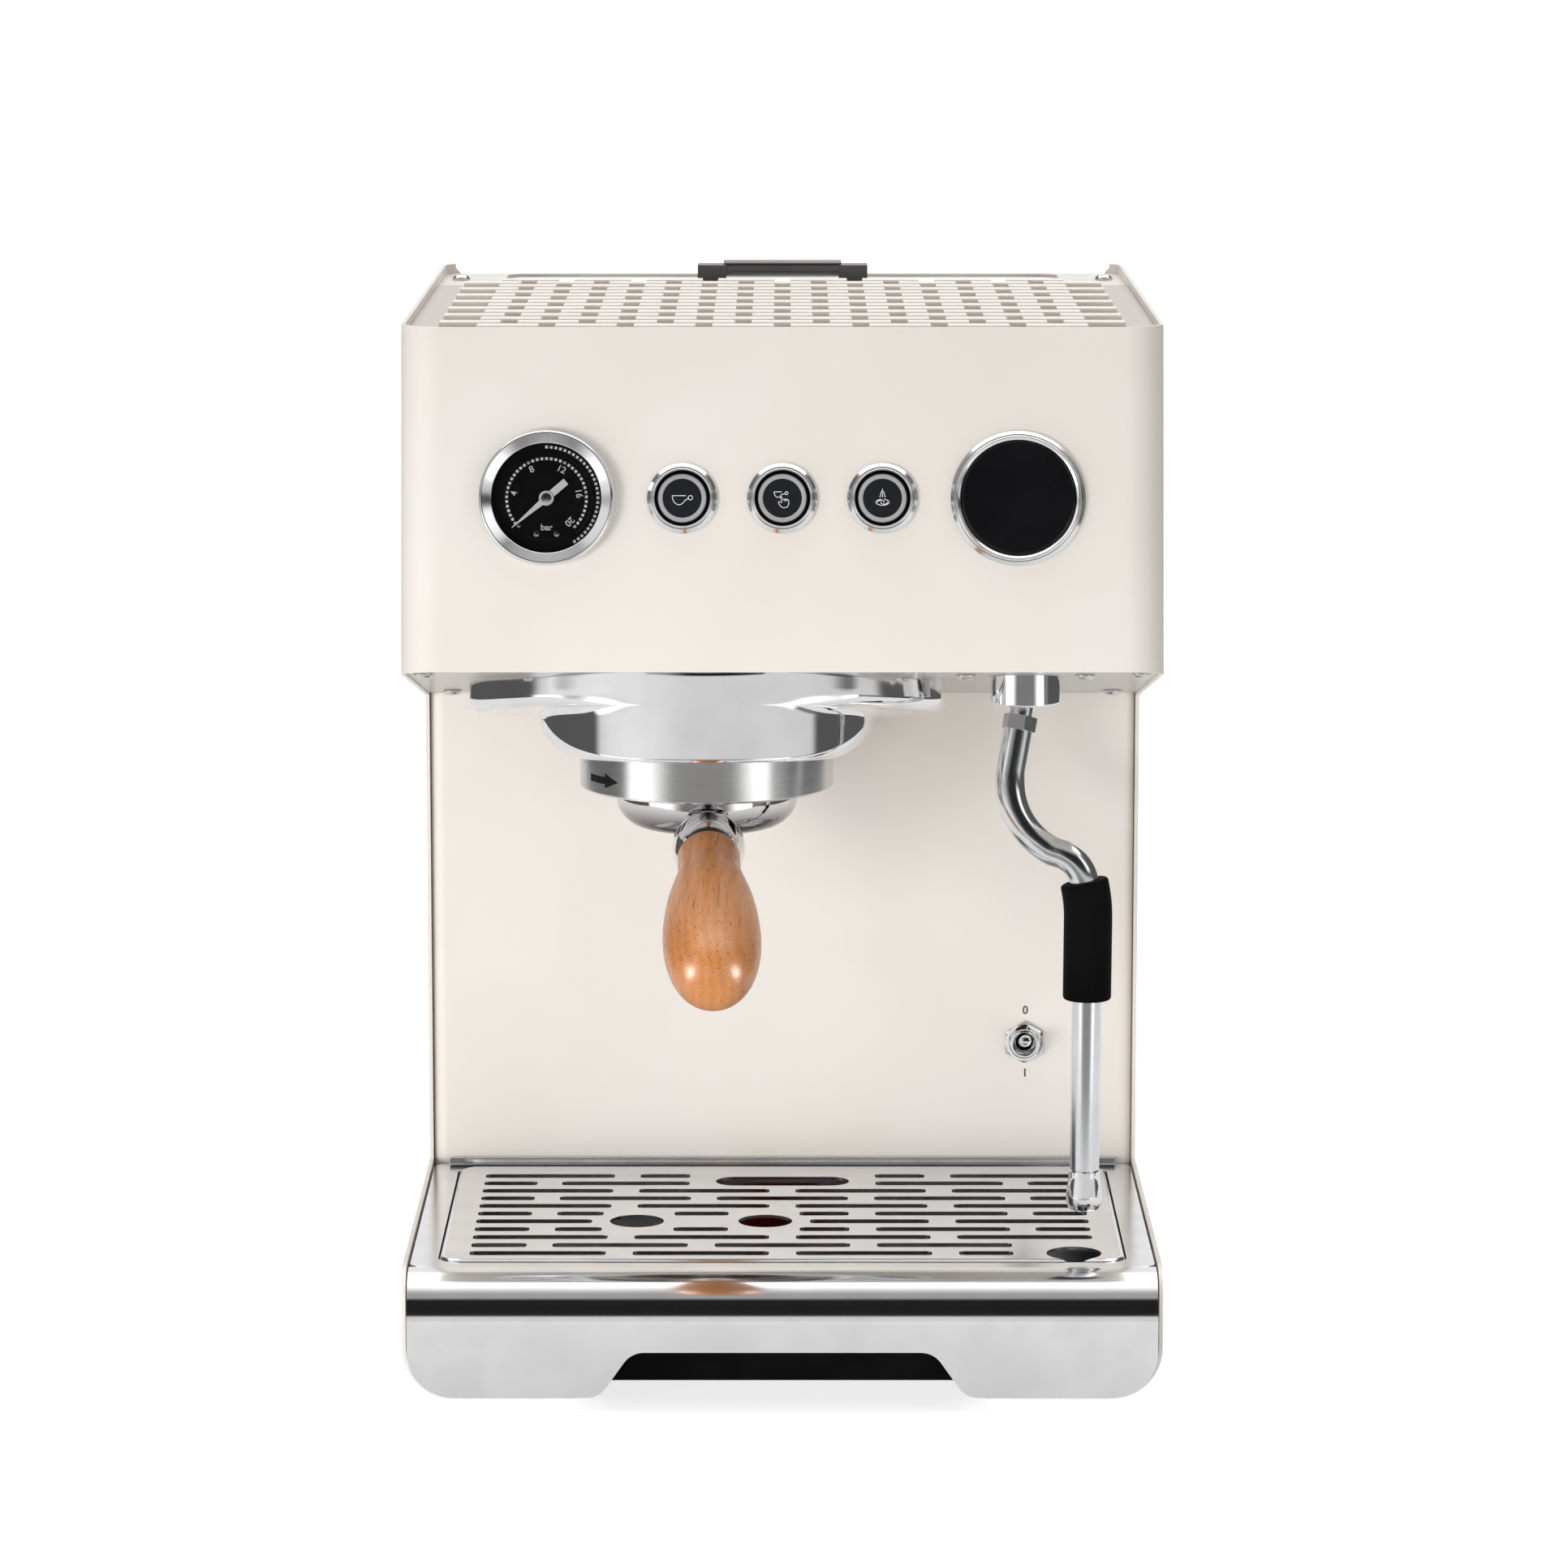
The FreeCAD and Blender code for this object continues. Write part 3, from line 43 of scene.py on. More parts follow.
bodyOf = {node: body for body, members in record["behaviour"]["bodies"].items() for node in members}
slotOf = {part["node"]: part["material_slot"] for part in record["subparts"]}
joints = {joint["name"]: joint for joint in record["behaviour"]["joints"]}
print("frame loaded:", len(frame["nodes"]), "nodes")


# Small tools for modelling; outlines and sizes are in millimetres

def pickOnly(piece):
    bpy.ops.object.select_all(action="DESELECT")
    piece.select_set(True)
    bpy.context.view_layer.objects.active = piece


def newPiece(name, add, **settings):
    # a fresh object from one of the add operators, the only one selected
    bpy.ops.object.select_all(action="DESELECT")
    add(**settings)
    piece = bpy.context.object
    piece.name = name
    return piece


def editAll():
    bpy.ops.object.mode_set(mode="EDIT")
    bpy.ops.mesh.select_all(action="SELECT")


def editDone():
    bpy.ops.object.mode_set(mode="OBJECT")


def applyModifier(piece, kind, settings):
    modifier = piece.modifiers.new(kind.lower(), kind)
    for key, value in settings.items():
        setattr(modifier, key, value)
    bpy.ops.object.modifier_apply(modifier=modifier.name)


def thicken(piece, thickness):
    # gives a flat piece a thickness, half to each side
    applyModifier(piece, "SOLIDIFY", {"thickness": thickness * mm, "offset": 0})


def smoothShade(piece, angle=40):
    pickOnly(piece)
    bpy.ops.object.shade_smooth_by_angle(angle=math.radians(angle))
    applyModifier(piece, "WEIGHTED_NORMAL", {"keep_sharp": True})


def plainName(nodeName):
    first, *rest = nodeName.split("_")
    return first + "".join(word.capitalize() for word in rest)


def settle(piece, nodeName, slot=None, hide=True, finish=None):
    # the piece moves as its node does, takes a slot's finish, and usually stands for the node
    slot = slot or slotOf[nodeName]
    piece.data.materials.clear()
    piece.data.materials.append(finish or finishes[slot])
    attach(piece, bodyOf[nodeName])
    if hide:
        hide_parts(nodeName)
    return piece


def setDown(piece, spot):
    # place the piece, with its place in its mesh
    pickOnly(piece)
    piece.matrix_world = spot
    bpy.ops.object.transform_apply(location=True, rotation=True, scale=True)
    return piece


def joinAll(name, pieces):
    pickOnly(pieces[0])
    for piece in pieces:
        piece.select_set(True)
    bpy.ops.object.join()
    pieces[0].name = name
    return pieces[0]


# the most of a side that the rounding at one of its ends may take
easeReach = 0.49


def eased(corners, steps=5):
    # a closed outline of (radius, height, rounding); a rounded corner becomes a short curve
    outline = []
    for i, (radius, height, *rounding) in enumerate(corners):
        here = Vector((radius, height))
        if not rounding:
            outline.append(here)
            continue
        before = Vector(corners[i - 1][:2]) - here
        after = Vector(corners[(i + 1) % len(corners)][:2]) - here
        start = here + before.normalized() * min(rounding[0], easeReach * before.length)
        end = here + after.normalized() * min(rounding[0], easeReach * after.length)
        for k in range(steps + 1):
            t = k / steps
            outline.append(start * (1 - t) ** 2 + here * 2 * t * (1 - t) + end * t ** 2)
    return outline


def flowing(stations, steps=6):
    # a smooth line through the stations
    points = [Vector(station) for station in stations]
    points = [2 * points[0] - points[1]] + points + [2 * points[-1] - points[-2]]
    line = []
    for a, b, c, d in zip(points, points[1:], points[2:], points[3:]):
        for k in range(steps):
            t = k / steps
            line.append(0.5 * (2 * b + (c - a) * t + (2 * a - 5 * b + 4 * c - d) * t * t
                               + (3 * b - a - 3 * c + d) * t ** 3))
    return line + [points[-2]]


seamGap = 0.001


def cleanUp(piece):
    # closes the seam of a bent or spun mesh and turns its faces outwards
    pickOnly(piece)
    editAll()
    bpy.ops.mesh.remove_doubles(threshold=seamGap * mm)
    bpy.ops.mesh.delete_loose()
    bpy.ops.mesh.select_all(action="SELECT")
    bpy.ops.mesh.normals_make_consistent(inside=False)
    editDone()


def spinPiece(name, outline, spot, around, angle=35):
    # a closed outline of (radius, height), spun about Z and set at its place
    piece = newPiece(name, bpy.ops.mesh.primitive_circle_add, vertices=len(outline))
    for vertex, (radius, height) in zip(piece.data.vertices, outline):
        vertex.co = (radius * mm, 0, height * mm)
    editAll()
    bpy.ops.mesh.spin(steps=around, angle=2 * math.pi, center=(0, 0, 0), axis=(0, 0, 1))
    editDone()
    cleanUp(piece)
    setDown(piece, spot)
    smoothShade(piece, angle)
    return piece


def sheetPiece(name, outline, thickness, spot):
    # a flat outline of (x, y), given a thickness
    piece = newPiece(name, bpy.ops.mesh.primitive_circle_add, vertices=len(outline), fill_type="NGON")
    for vertex, (x, y) in zip(piece.data.vertices, outline):
        vertex.co = (x * mm, y * mm, 0)
    editAll()
    bpy.ops.mesh.normals_make_consistent(inside=False)
    editDone()
    thicken(piece, thickness)
    return setDown(piece, spot)


def linePiece(name, strokes, radius, spot):
    # thin round lines through (x, y) points
    curve = bpy.data.curves.new(name, "CURVE")
    curve.dimensions = "3D"
    curve.bevel_depth = radius * mm
    curve.bevel_resolution = 1
    curve.use_fill_caps = True
    for stroke in strokes:
        spline = curve.splines.new("POLY")
        spline.points.add(len(stroke) - 1)
        for point, (x, y) in zip(spline.points, stroke):
            point.co = (x * mm, y * mm, 0, 1)
    piece = bpy.data.objects.new(name, curve)
    bpy.context.collection.objects.link(piece)
    pickOnly(piece)
    bpy.ops.object.convert(target="MESH")
    return setDown(bpy.context.object, spot)


# capHeight and swell are shares of the letter's size and height
wordSet = {"capHeight": 0.70, "swell": 0.025, "thickness": 0.05}


def wordPiece(word, height, spot):
    # generic figures and marks
    piece = newPiece("word", bpy.ops.object.text_add)
    piece.data.body = word
    piece.data.align_x = "CENTER"
    piece.data.align_y = "CENTER"
    piece.data.size = height * mm / wordSet["capHeight"]
    piece.data.offset = height * mm * wordSet["swell"]
    bpy.ops.object.convert(target="MESH")
    return setDown(bpy.context.object, spot)


# Shader maths

class Wire:
    # one shader value: operators add Math nodes, make() adds any other node
    def __init__(self, tree, socket=None):
        self.tree = tree
        self.socket = socket

    def make(self, kind, settings, values, out=0):
        node = self.tree.nodes.new(kind)
        for key, value in settings.items():
            setattr(node, key, value)
        for key, value in values.items():
            if isinstance(value, Wire):
                self.tree.links.new(value.socket, node.inputs[key])
            else:
                node.inputs[key].default_value = value
        return Wire(self.tree, node.outputs[out])

    def maths(self, operation, first, second):
        return self.make("ShaderNodeMath", {"operation": operation}, {0: first, 1: second})

    def __add__(self, other):
        return self.maths("ADD", self, other)

    def __radd__(self, other):
        return self.maths("ADD", other, self)

    def __sub__(self, other):
        return self.maths("SUBTRACT", self, other)

    def __rsub__(self, other):
        return self.maths("SUBTRACT", other, self)

    def __mul__(self, other):
        return self.maths("MULTIPLY", self, other)


def grey(level):
    return (level, level, level, 1)


def rgb(red, green, blue):
    return (red, green, blue, 1)


def toned(colour, share):
    return tuple(share * level for level in colour[:3]) + (1,)


def objectPlace(tree):
    return Wire(tree).make("ShaderNodeTexCoord", {}, {}, "Object")


def coordinate(place, axis):
    return place.make("ShaderNodeSeparateXYZ", {}, {0: place}, axis)


noiseSet = {"detail": 2, "fine": 3, "roughness": 0.5, "middle": 0.5}


def noise(place, scale, detail=noiseSet["detail"]):
    return place.make("ShaderNodeTexNoise", {}, {"Vector": place, "Scale": scale, "Detail": detail,
                                                 "Roughness": noiseSet["roughness"]})


def fineNoise(place, scale):
    return noise(place, scale, noiseSet["fine"])


def centred(pattern):
    return pattern - noiseSet["middle"]


def mapped(place, origin=(0, 0, 0), turn=(0, 0, 0), stretch=(1, 1, 1)):
    # moves the pattern's origin, turns it, then stretches it
    return place.make("ShaderNodeMapping", {"vector_type": "TEXTURE"},
                      {"Vector": place, "Location": origin, "Rotation": turn, "Scale": stretch})


def between(value, low, high, first=0.0, last=1.0):
    return value.make("ShaderNodeMapRange", {"interpolation_type": "SMOOTHSTEP"},
                      {"Value": value, "From Min": low, "From Max": high, "To Min": first, "To Max": last})


def blendColour(amount, first, second):
    # 6 and 7 are the Mix node's colours, and 2 is its colour result
    return amount.make("ShaderNodeMix", {"data_type": "RGBA"}, {0: amount, 6: first, 7: second}, 2)


def bump(height, strength, distance):
    return height.make("ShaderNodeBump", {}, {"Height": height, "Strength": strength, "Distance": distance})


def newFinish(name, values):
    # a Principled material with its fixed values set, and its place on the object
    material = bpy.data.materials.new(name)
    material.use_nodes = True
    shader = material.node_tree.nodes["Principled BSDF"]
    for key, value in values.items():
        shader.inputs[key].default_value = value
    return material, shader, objectPlace(material.node_tree)


def feed(shader, place, wires):
    for key, wire in wires.items():
        place.tree.links.new(wire.socket, shader.inputs[key])


# Finishes

creamSet = {
    "pale": rgb(0.86, 0.815, 0.765), "deep": rgb(0.835, 0.785, 0.73), "driftScale": 14,
    "driftSpan": (0.35, 0.65), "roughness": 0.34, "peelScale": 900, "peelRough": 0.12,
    "peelBump": (0.06, 0.0002), "coat": {"Coat Weight": 0.15, "Coat Roughness": 0.2},
    # underShare darkens the underside's copy of the paint: painted shade
    "underShare": 0.68, "trayShare": 1.13,
    # trayShare lightens the cup tray's copy of the paint as painted light; shade is painted shade between the
    # tray's pads
    "shade": rgb(0.56, 0.49, 0.445), "gapHeight": 392.3, "padHeight": 394.3,
}


def creamPaint(name, share=1.0):
    # share scales the paint's tone: below one it is painted shade, above one painted light
    material, shader, place = newFinish(name, creamSet["coat"])
    drift = between(noise(place, creamSet["driftScale"]), *creamSet["driftSpan"])
    peel = fineNoise(place, creamSet["peelScale"])
    feed(shader, place, {
        "Base Color": blendColour(drift, toned(creamSet["pale"], share), toned(creamSet["deep"], share)),
        "Roughness": creamSet["roughness"] + centred(peel) * creamSet["peelRough"],
        "Normal": bump(peel, *creamSet["peelBump"])})
    return material


def trayPaint():
    # the cup tray's paint, a lighter copy as painted light, with painted shade between its pads
    material = creamPaint("trayPaint", creamSet["trayShare"])
    shader = material.node_tree.nodes["Principled BSDF"]
    place = objectPlace(material.node_tree)
    paint = Wire(place.tree, shader.inputs["Base Color"].links[0].from_socket)
    height = coordinate(place, "Z")
    raised = between(height, creamSet["gapHeight"] * mm, creamSet["padHeight"] * mm)
    feed(shader, place, {"Base Color": blendColour(raised, creamSet["shade"], paint)})
    return material


plateSet = {"hazeScale": 60, "hazeSpan": (0.3, 0.7), "hazeTone": 0.93, "lineDepth": 0.00005}


def plated(name, colour, roughness, wear, grainScale=1200, grain=0.0, stretch=(1, 1, 1)):
    # bright metal with a slight haze, and with fine lines where it has a grain
    material, shader, place = newFinish(name, {"Metallic": 1.0})
    haze = fineNoise(place, plateSet["hazeScale"])
    hazy = between(haze, *plateSet["hazeSpan"])
    wires = {"Base Color": blendColour(hazy, colour, toned(colour, plateSet["hazeTone"])),
             "Roughness": roughness + haze * wear}
    if grain:
        lines = noise(mapped(place, stretch=stretch), grainScale)
        wires["Roughness"] = wires["Roughness"] + centred(lines) * grain
        wires["Normal"] = bump(lines, grain, plateSet["lineDepth"])
    feed(shader, place, wires)
    return material


# the bowl's chrome darkens towards its foot as a painted dark reflection
bowlSet = {"dark": rgb(0.10, 0.08, 0.075), "bright": rgb(0.84, 0.83, 0.83), "low": 205, "high": 219,
           "roughness": 0.05, "wear": 0.05}


def bowlChrome():
    # chrome with a painted dark reflection towards the bowl's foot
    material, shader, place = newFinish("bowlChrome", {"Metallic": 1.0})
    raised = between(coordinate(place, "Z"), bowlSet["low"] * mm, bowlSet["high"] * mm)
    haze = fineNoise(place, plateSet["hazeScale"])
    feed(shader, place, {"Base Color": blendColour(raised, bowlSet["dark"], bowlSet["bright"]),
                         "Roughness": bowlSet["roughness"] + haze * bowlSet["wear"]})
    return material


mouldSet = {"driftScale": 40, "driftSpan": (0.3, 0.7), "gain": 1.18, "lift": 0.002, "skinRough": 0.15,
            "skinDepth": 0.0003}


def moulded(name, colour, roughness, grainScale=700, grain=0.08, specular=0.5):
    # plastics and rubbers: a fine moulded grain and a little drift in tone
    material, shader, place = newFinish(name, {"Specular IOR Level": specular})
    drift = between(noise(place, mouldSet["driftScale"]), *mouldSet["driftSpan"])
    skin = fineNoise(place, grainScale)
    lighter = tuple(min(1, mouldSet["gain"] * level + mouldSet["lift"]) for level in colour[:3]) + (1,)
    feed(shader, place, {
        "Base Color": blendColour(drift, colour, lighter),
        "Roughness": roughness + centred(skin) * mouldSet["skinRough"],
        "Normal": bump(skin, grain, mouldSet["skinDepth"])})
    return material


# heart is where the rings are centred, in metres from the group's axis; shares mix ring, broad and fibre
woodSet = {
    "pale": rgb(0.63, 0.252, 0.07), "ring": rgb(0.46, 0.165, 0.045), "pore": rgb(0.15, 0.05, 0.017),
    "gloss": {"Coat Weight": 0.5, "Coat Roughness": 0.27, "Specular IOR Level": 0.35},
    "tilt": 102.8, "slant": 9, "heart": (-0.030, 0.006, 0.0),
    "rings": {"Scale": 90, "Distortion": 3.0, "Detail": 2.5, "Detail Scale": 1.4}, "ringStretch": 7,
    "broad": {"stretch": 5, "scale": 150, "detail": 2}, "fibre": {"stretch": 30, "scale": 2200, "detail": 2},
    "pores": {"stretch": 24, "scale": 1500, "detail": 1}, "poreSpan": (0.60, 0.70), "poreShare": 0.6,
    "shares": (0.35, 0.55, 0.5), "roughness": 0.4, "poreRough": 0.1, "fibreRough": 0.08,
    "relief": 0.4, "bump": (0.06, 0.0002),
}


def oiledWood():
    material, shader, place = newFinish("oiledWood", woodSet["gloss"])
    turn = (math.radians(woodSet["tilt"]), math.radians(woodSet["slant"]), 0)
    axis = joints["portafilter_turn"]["pos_m"]
    centre = tuple(level + shift for level, shift in zip(axis, woodSet["heart"]))

    def along(stretch):
        return mapped(place, centre, turn, (1, 1, stretch))

    def grain(stretch, scale, detail):
        return noise(along(stretch), scale, detail)

    flow = along(woodSet["ringStretch"])
    rings = flow.make("ShaderNodeTexWave", {"wave_type": "RINGS", "rings_direction": "Z"},
                      {"Vector": flow, **woodSet["rings"]})
    broad = grain(**woodSet["broad"])
    fibre = grain(**woodSet["fibre"])
    pore = between(grain(**woodSet["pores"]), *woodSet["poreSpan"])
    ringShare, broadShare, fibreShare = woodSet["shares"]
    mixed = rings * ringShare + broad * broadShare + centred(fibre) * fibreShare
    tone = blendColour(mixed, woodSet["pale"], woodSet["ring"])
    relief = fibre * woodSet["relief"] - pore * woodSet["relief"]
    feed(shader, place, {
        "Base Color": blendColour(pore * woodSet["poreShare"], tone, woodSet["pore"]),
        "Roughness": woodSet["roughness"] + pore * woodSet["poreRough"] + fibre * woodSet["fibreRough"],
        "Normal": bump(relief, *woodSet["bump"])})
    return material


clearSet = {"roughness": 0.03, "smearScale": 25, "index": 1.45}


def clearSheet(name, tint, cloud):
    # see-through sheet: gloss at the edges by Fresnel, clear elsewhere
    fixed = {"Base Color": tint, "Roughness": clearSet["roughness"], "Metallic": 1.0}
    material, shader, place = newFinish(name, fixed)
    tree = place.tree
    smear = noise(place, clearSet["smearScale"])
    shine = place.make("ShaderNodeFresnel", {}, {"IOR": clearSet["index"]})
    through = place.make("ShaderNodeBsdfTransparent", {}, {"Color": tint})
    gloss = Wire(tree, shader.outputs[0])
    mixed = place.make("ShaderNodeMixShader", {}, {0: shine + smear * cloud, 1: through, 2: gloss})
    tree.links.new(mixed.socket, tree.nodes["Material Output"].inputs["Surface"])
    return material


brightPlate = rgb(0.86, 0.86, 0.87)
metalSet = {
    "chrome": {"colour": brightPlate, "roughness": 0.03, "wear": 0.03},
    "turned_steel": {"colour": rgb(0.70, 0.70, 0.70), "roughness": 0.20, "wear": 0.05, "grainScale": 3000,
                     "grain": 0.10, "stretch": (30, 30, 1)},
    "polished_steel": {"colour": rgb(0.80, 0.81, 0.83), "roughness": 0.15, "wear": 0.05, "grainScale": 1500,
                       "grain": 0.03},
    "dark_steel": {"colour": rgb(0.17, 0.165, 0.165), "roughness": 0.28, "wear": 0.1, "grainScale": 1500,
                   "grain": 0.05},
    "brass": {"colour": rgb(0.72, 0.53, 0.25), "roughness": 0.24, "wear": 0.1, "grain": 0.05},
    "copper": {"colour": rgb(0.75, 0.40, 0.27), "roughness": 0.24, "wear": 0.1, "grain": 0.05},
}
plasticSet = {
    "black_rubber": {"colour": rgb(0.003, 0.003, 0.003), "roughness": 0.62, "grainScale": 900, "grain": 0.1,
                     "specular": 0.04},
    "silicone_hose": {"colour": rgb(0.70, 0.70, 0.68), "roughness": 0.42},
    "black_plastic": {"colour": rgb(0.02, 0.02, 0.021), "roughness": 0.45},
    "button_black": {"colour": rgb(0.010, 0.011, 0.014), "roughness": 0.4, "grainScale": 1500, "grain": 0.04,
                     "specular": 0.25},
    "display_black": {"colour": rgb(0.006, 0.006, 0.007), "roughness": 0.10, "grainScale": 60, "grain": 0.002,
                      "specular": 0.3},
    "dial_black": {"colour": rgb(0.005, 0.005, 0.006), "roughness": 0.6, "grainScale": 1500, "grain": 0.03,
                   "specular": 0.15},
    "needle_cream": {"colour": rgb(0.95, 0.94, 0.90), "roughness": 0.4, "grainScale": 1500, "grain": 0.03},
    "white_plastic": {"colour": rgb(0.80, 0.80, 0.78), "roughness": 0.4},
    "float_red": {"colour": rgb(0.16, 0.008, 0.012), "roughness": 0.35},
    "board_green": {"colour": rgb(0.02, 0.13, 0.05), "roughness": 0.4, "grainScale": 2500, "grain": 0.15},
}
sheetSet = {"clear_glass": {"tint": rgb(1, 1, 1), "cloud": 0.01},
            "tank_clear": {"tint": rgb(0.90, 0.93, 0.94), "cloud": 0.25}}
finishes = {"cream_paint": creamPaint("creamPaint"), "oiled_wood": oiledWood()}
for makeFinish, table in ((plated, metalSet), (moulded, plasticSet), (clearSheet, sheetSet)):
    for slot, values in table.items():
        finishes[slot] = makeFinish(plainName(slot), **values)
for name, node in frame["nodes"].items():
    node.data.materials.clear()
    node.data.materials.append(finishes[slotOf[name]])
print("finishes made:", len(finishes))


# Camera, light and floor, in metres

cameraSet = {"place": (0.0006, -2.310, 0.590), "pitch": 80.7, "lens": 140.0, "sensor": 36.0}


def addCamera():
    bpy.ops.object.select_all(action="DESELECT")
    turn = (math.radians(cameraSet["pitch"]), 0, 0)
    bpy.ops.object.camera_add(location=cameraSet["place"], rotation=turn)
    camera = bpy.context.object
    camera.data.lens = cameraSet["lens"]
    camera.data.sensor_width = cameraSet["sensor"]
    bpy.context.scene.camera = camera


# angles in degrees: across from the camera's side, left below zero, and up; levels are brightness
studioSet = {
    "ahead": {"under": 0.22, "underTop": -4, "low": 0.72, "lowTop": 5, "dark": 0.015, "leftDark": 0.30,
              "leftFrom": -34, "leftTo": -9},
    "aside": {"from": 74, "fade": 6, "to": 146, "rearFade": 18, "level": 0.10, "rear": 0.95},
    "boxes": [{"across": (-76, -44), "fade": (3, 16), "up": (-45, -5), "level": 2.1},
              {"across": (-72, -30), "fade": (6, 24), "up": (-2, 12), "level": 0.20},
              {"across": (-78, -50), "fade": (6, 16), "up": (14, 56), "level": 0.75},
              {"across": (36, 60), "fade": (14, 3), "up": (-45, -5), "level": 1.9},
              {"across": (48, 72), "fade": (3, 3), "up": (17, 56), "level": 1.4}],
    "roof": {"from": 46, "rise": 60, "full": 105, "front": 0.40, "back": 2.6},
    "soft": 3, "tint": rgb(1.0, 0.995, 0.985),
}


def band(angle, span, fade):
    return (between(angle, span[0] - fade[0], span[0] + fade[0])
            * between(angle, span[1] - fade[1], span[1] + fade[1], 1, 0))


def lightStudio():
    world = bpy.data.worlds.new("studio")
    world.use_nodes = True
    bpy.context.scene.world = world
    background = world.node_tree.nodes["Background"]
    way = Wire(world.node_tree).make("ShaderNodeTexCoord", {}, {}, "Generated")
    across, depth, height = (coordinate(way, axis) for axis in "XYZ")
    forward = depth * -1
    turn = across.maths("ARCTAN2", across, forward) * math.degrees(1)
    rise = height.make("ShaderNodeMath", {"operation": "ARCSINE"}, {0: height}) * math.degrees(1)
    over = height.maths("ARCTAN2", height, forward) * math.degrees(1)
    size = turn.make("ShaderNodeMath", {"operation": "ABSOLUTE"}, {0: turn})
    ahead, aside, roof, soft = (studioSet[key] for key in ("ahead", "aside", "roof", "soft"))
    front = between(rise, ahead["underTop"] - soft, ahead["underTop"], ahead["under"], ahead["low"])
    dark = between(turn, ahead["leftFrom"], ahead["leftTo"], ahead["leftDark"], ahead["dark"])
    front = dark + between(rise, ahead["lowTop"], ahead["lowTop"] + soft, 1, 0) * (front - dark)
    beside = between(size, aside["from"], aside["from"] + aside["fade"])
    behind = between(size, aside["to"], aside["to"] + aside["rearFade"])
    level = front * (1 - beside) + beside * (aside["level"] + behind * (aside["rear"] - aside["level"]))
    for box in studioSet["boxes"]:
        patch = band(turn, box["across"], box["fade"]) * band(rise, box["up"], (soft, soft))
        level = level + patch * box["level"]
    above = between(rise, roof["from"], roof["from"] + 2 * soft)
    ceiling = between(over, roof["rise"], roof["full"], roof["front"], roof["back"])
    level = level * (1 - above) + above * ceiling
    world.node_tree.links.new(level.socket, background.inputs["Strength"])
    background.inputs["Color"].default_value = studioSet["tint"]


# the white sweep is what the camera sees; the smaller table lights the machine and shows in its chrome;
# across is the half width, and drop is in millimetres
floorSet = {
    "sweep": {"across": 40.0, "front": -40.0, "back": 40.0, "drop": 0.0, "tone": 0.55, "glow": 0.76},
    "table": {"across": 1.0, "front": -0.52, "back": 1.4, "drop": 0.3, "tone": 0.50, "glow": 0.36},
    "finish": {"Roughness": 0.9, "Specular IOR Level": 0.2, "Emission Strength": 1.0},
    "driftScale": 3, "driftShare": 0.1, "driftTone": 0.5,
}


def floorPlane(name, across, front, back, drop, tone, glow):
    floor = newPiece(name, bpy.ops.mesh.primitive_plane_add, size=1)
    material, shader, place = newFinish(name, {**floorSet["finish"], "Emission Color": grey(glow)})
    drift = noise(place, floorSet["driftScale"]) * floorSet["driftShare"]
    feed(shader, place, {"Base Color": blendColour(drift, grey(tone), grey(floorSet["driftTone"]))})
    floor.data.materials.append(material)
    spot = Matrix.Translation((0, (front + back) / 2, -drop * mm))
    setDown(floor, spot @ Matrix.Diagonal((2 * across, back - front, 1, 1)))
    return floor


def addFloor():
    sweep = floorPlane("whiteSweep", **floorSet["sweep"])
    sweep.visible_glossy = False
    sweep.visible_diffuse = False
    sweep.visible_shadow = False
    floorPlane("paleTable", **floorSet["table"]).visible_camera = False


# soft fills and one low beam for the cup space, none of which shows in the chrome,
# and two small lights that only give the wood its highlights
fillSet = [{"place": (-1.5, -2.1, 0.20), "size": 0.9, "power": 26.0},
           {"place": (0.8, -2.4, 0.30), "size": 1.2, "power": 7.0}]
fillAim = (0, 0, 0.2)
beamSet = {"place": (-0.35, -1.50, 0.06), "aim": (0, 0.055, 0.02), "angle": 17, "blend": 0.7,
           "radius": 0.22, "power": 42.0}
sparkSet = [{"place": (-1.10, -0.62, 0.22), "size": 0.50, "power": 20.0},
            {"place": (1.06, -0.62, 0.22), "size": 0.50, "power": 20.0}]
sparkAim = (-0.03, -0.17, 0.18)


def addLight(kind, place, aim, power):
    bpy.ops.object.select_all(action="DESELECT")
    way = Vector(aim) - Vector(place)
    bpy.ops.object.light_add(type=kind, location=place, rotation=way.to_track_quat("-Z", "Y").to_euler())
    light = bpy.context.object
    light.data.energy = power
    return light


def areaLight(place, size, power, aim):
    light = addLight("AREA", place, aim, power)
    light.data.size = size
    return light


def addLights():
    for fill in fillSet:
        areaLight(aim=fillAim, **fill).visible_glossy = False
    beam = addLight("SPOT", beamSet["place"], beamSet["aim"], beamSet["power"])
    beam.data.spot_size = math.radians(beamSet["angle"])
    beam.data.spot_blend = beamSet["blend"]
    beam.data.shadow_soft_size = beamSet["radius"]
    beam.visible_glossy = False


def addSparks(wood):
    # lights linked to the wooden handle alone
    woodOnly = bpy.data.collections.new("woodOnly")
    woodOnly.objects.link(wood)
    for spark in sparkSet:
        light = areaLight(aim=sparkAim, **spark)
        light.visible_diffuse = False
        light.light_linking.receiver_collection = woodOnly


addCamera()
lightStudio()
addFloor()
addLights()
bpy.context.scene.view_settings.view_transform = "Standard"
print("camera, light and floor set")


# Carried-over pieces: welded copies of the nodes with softened edges

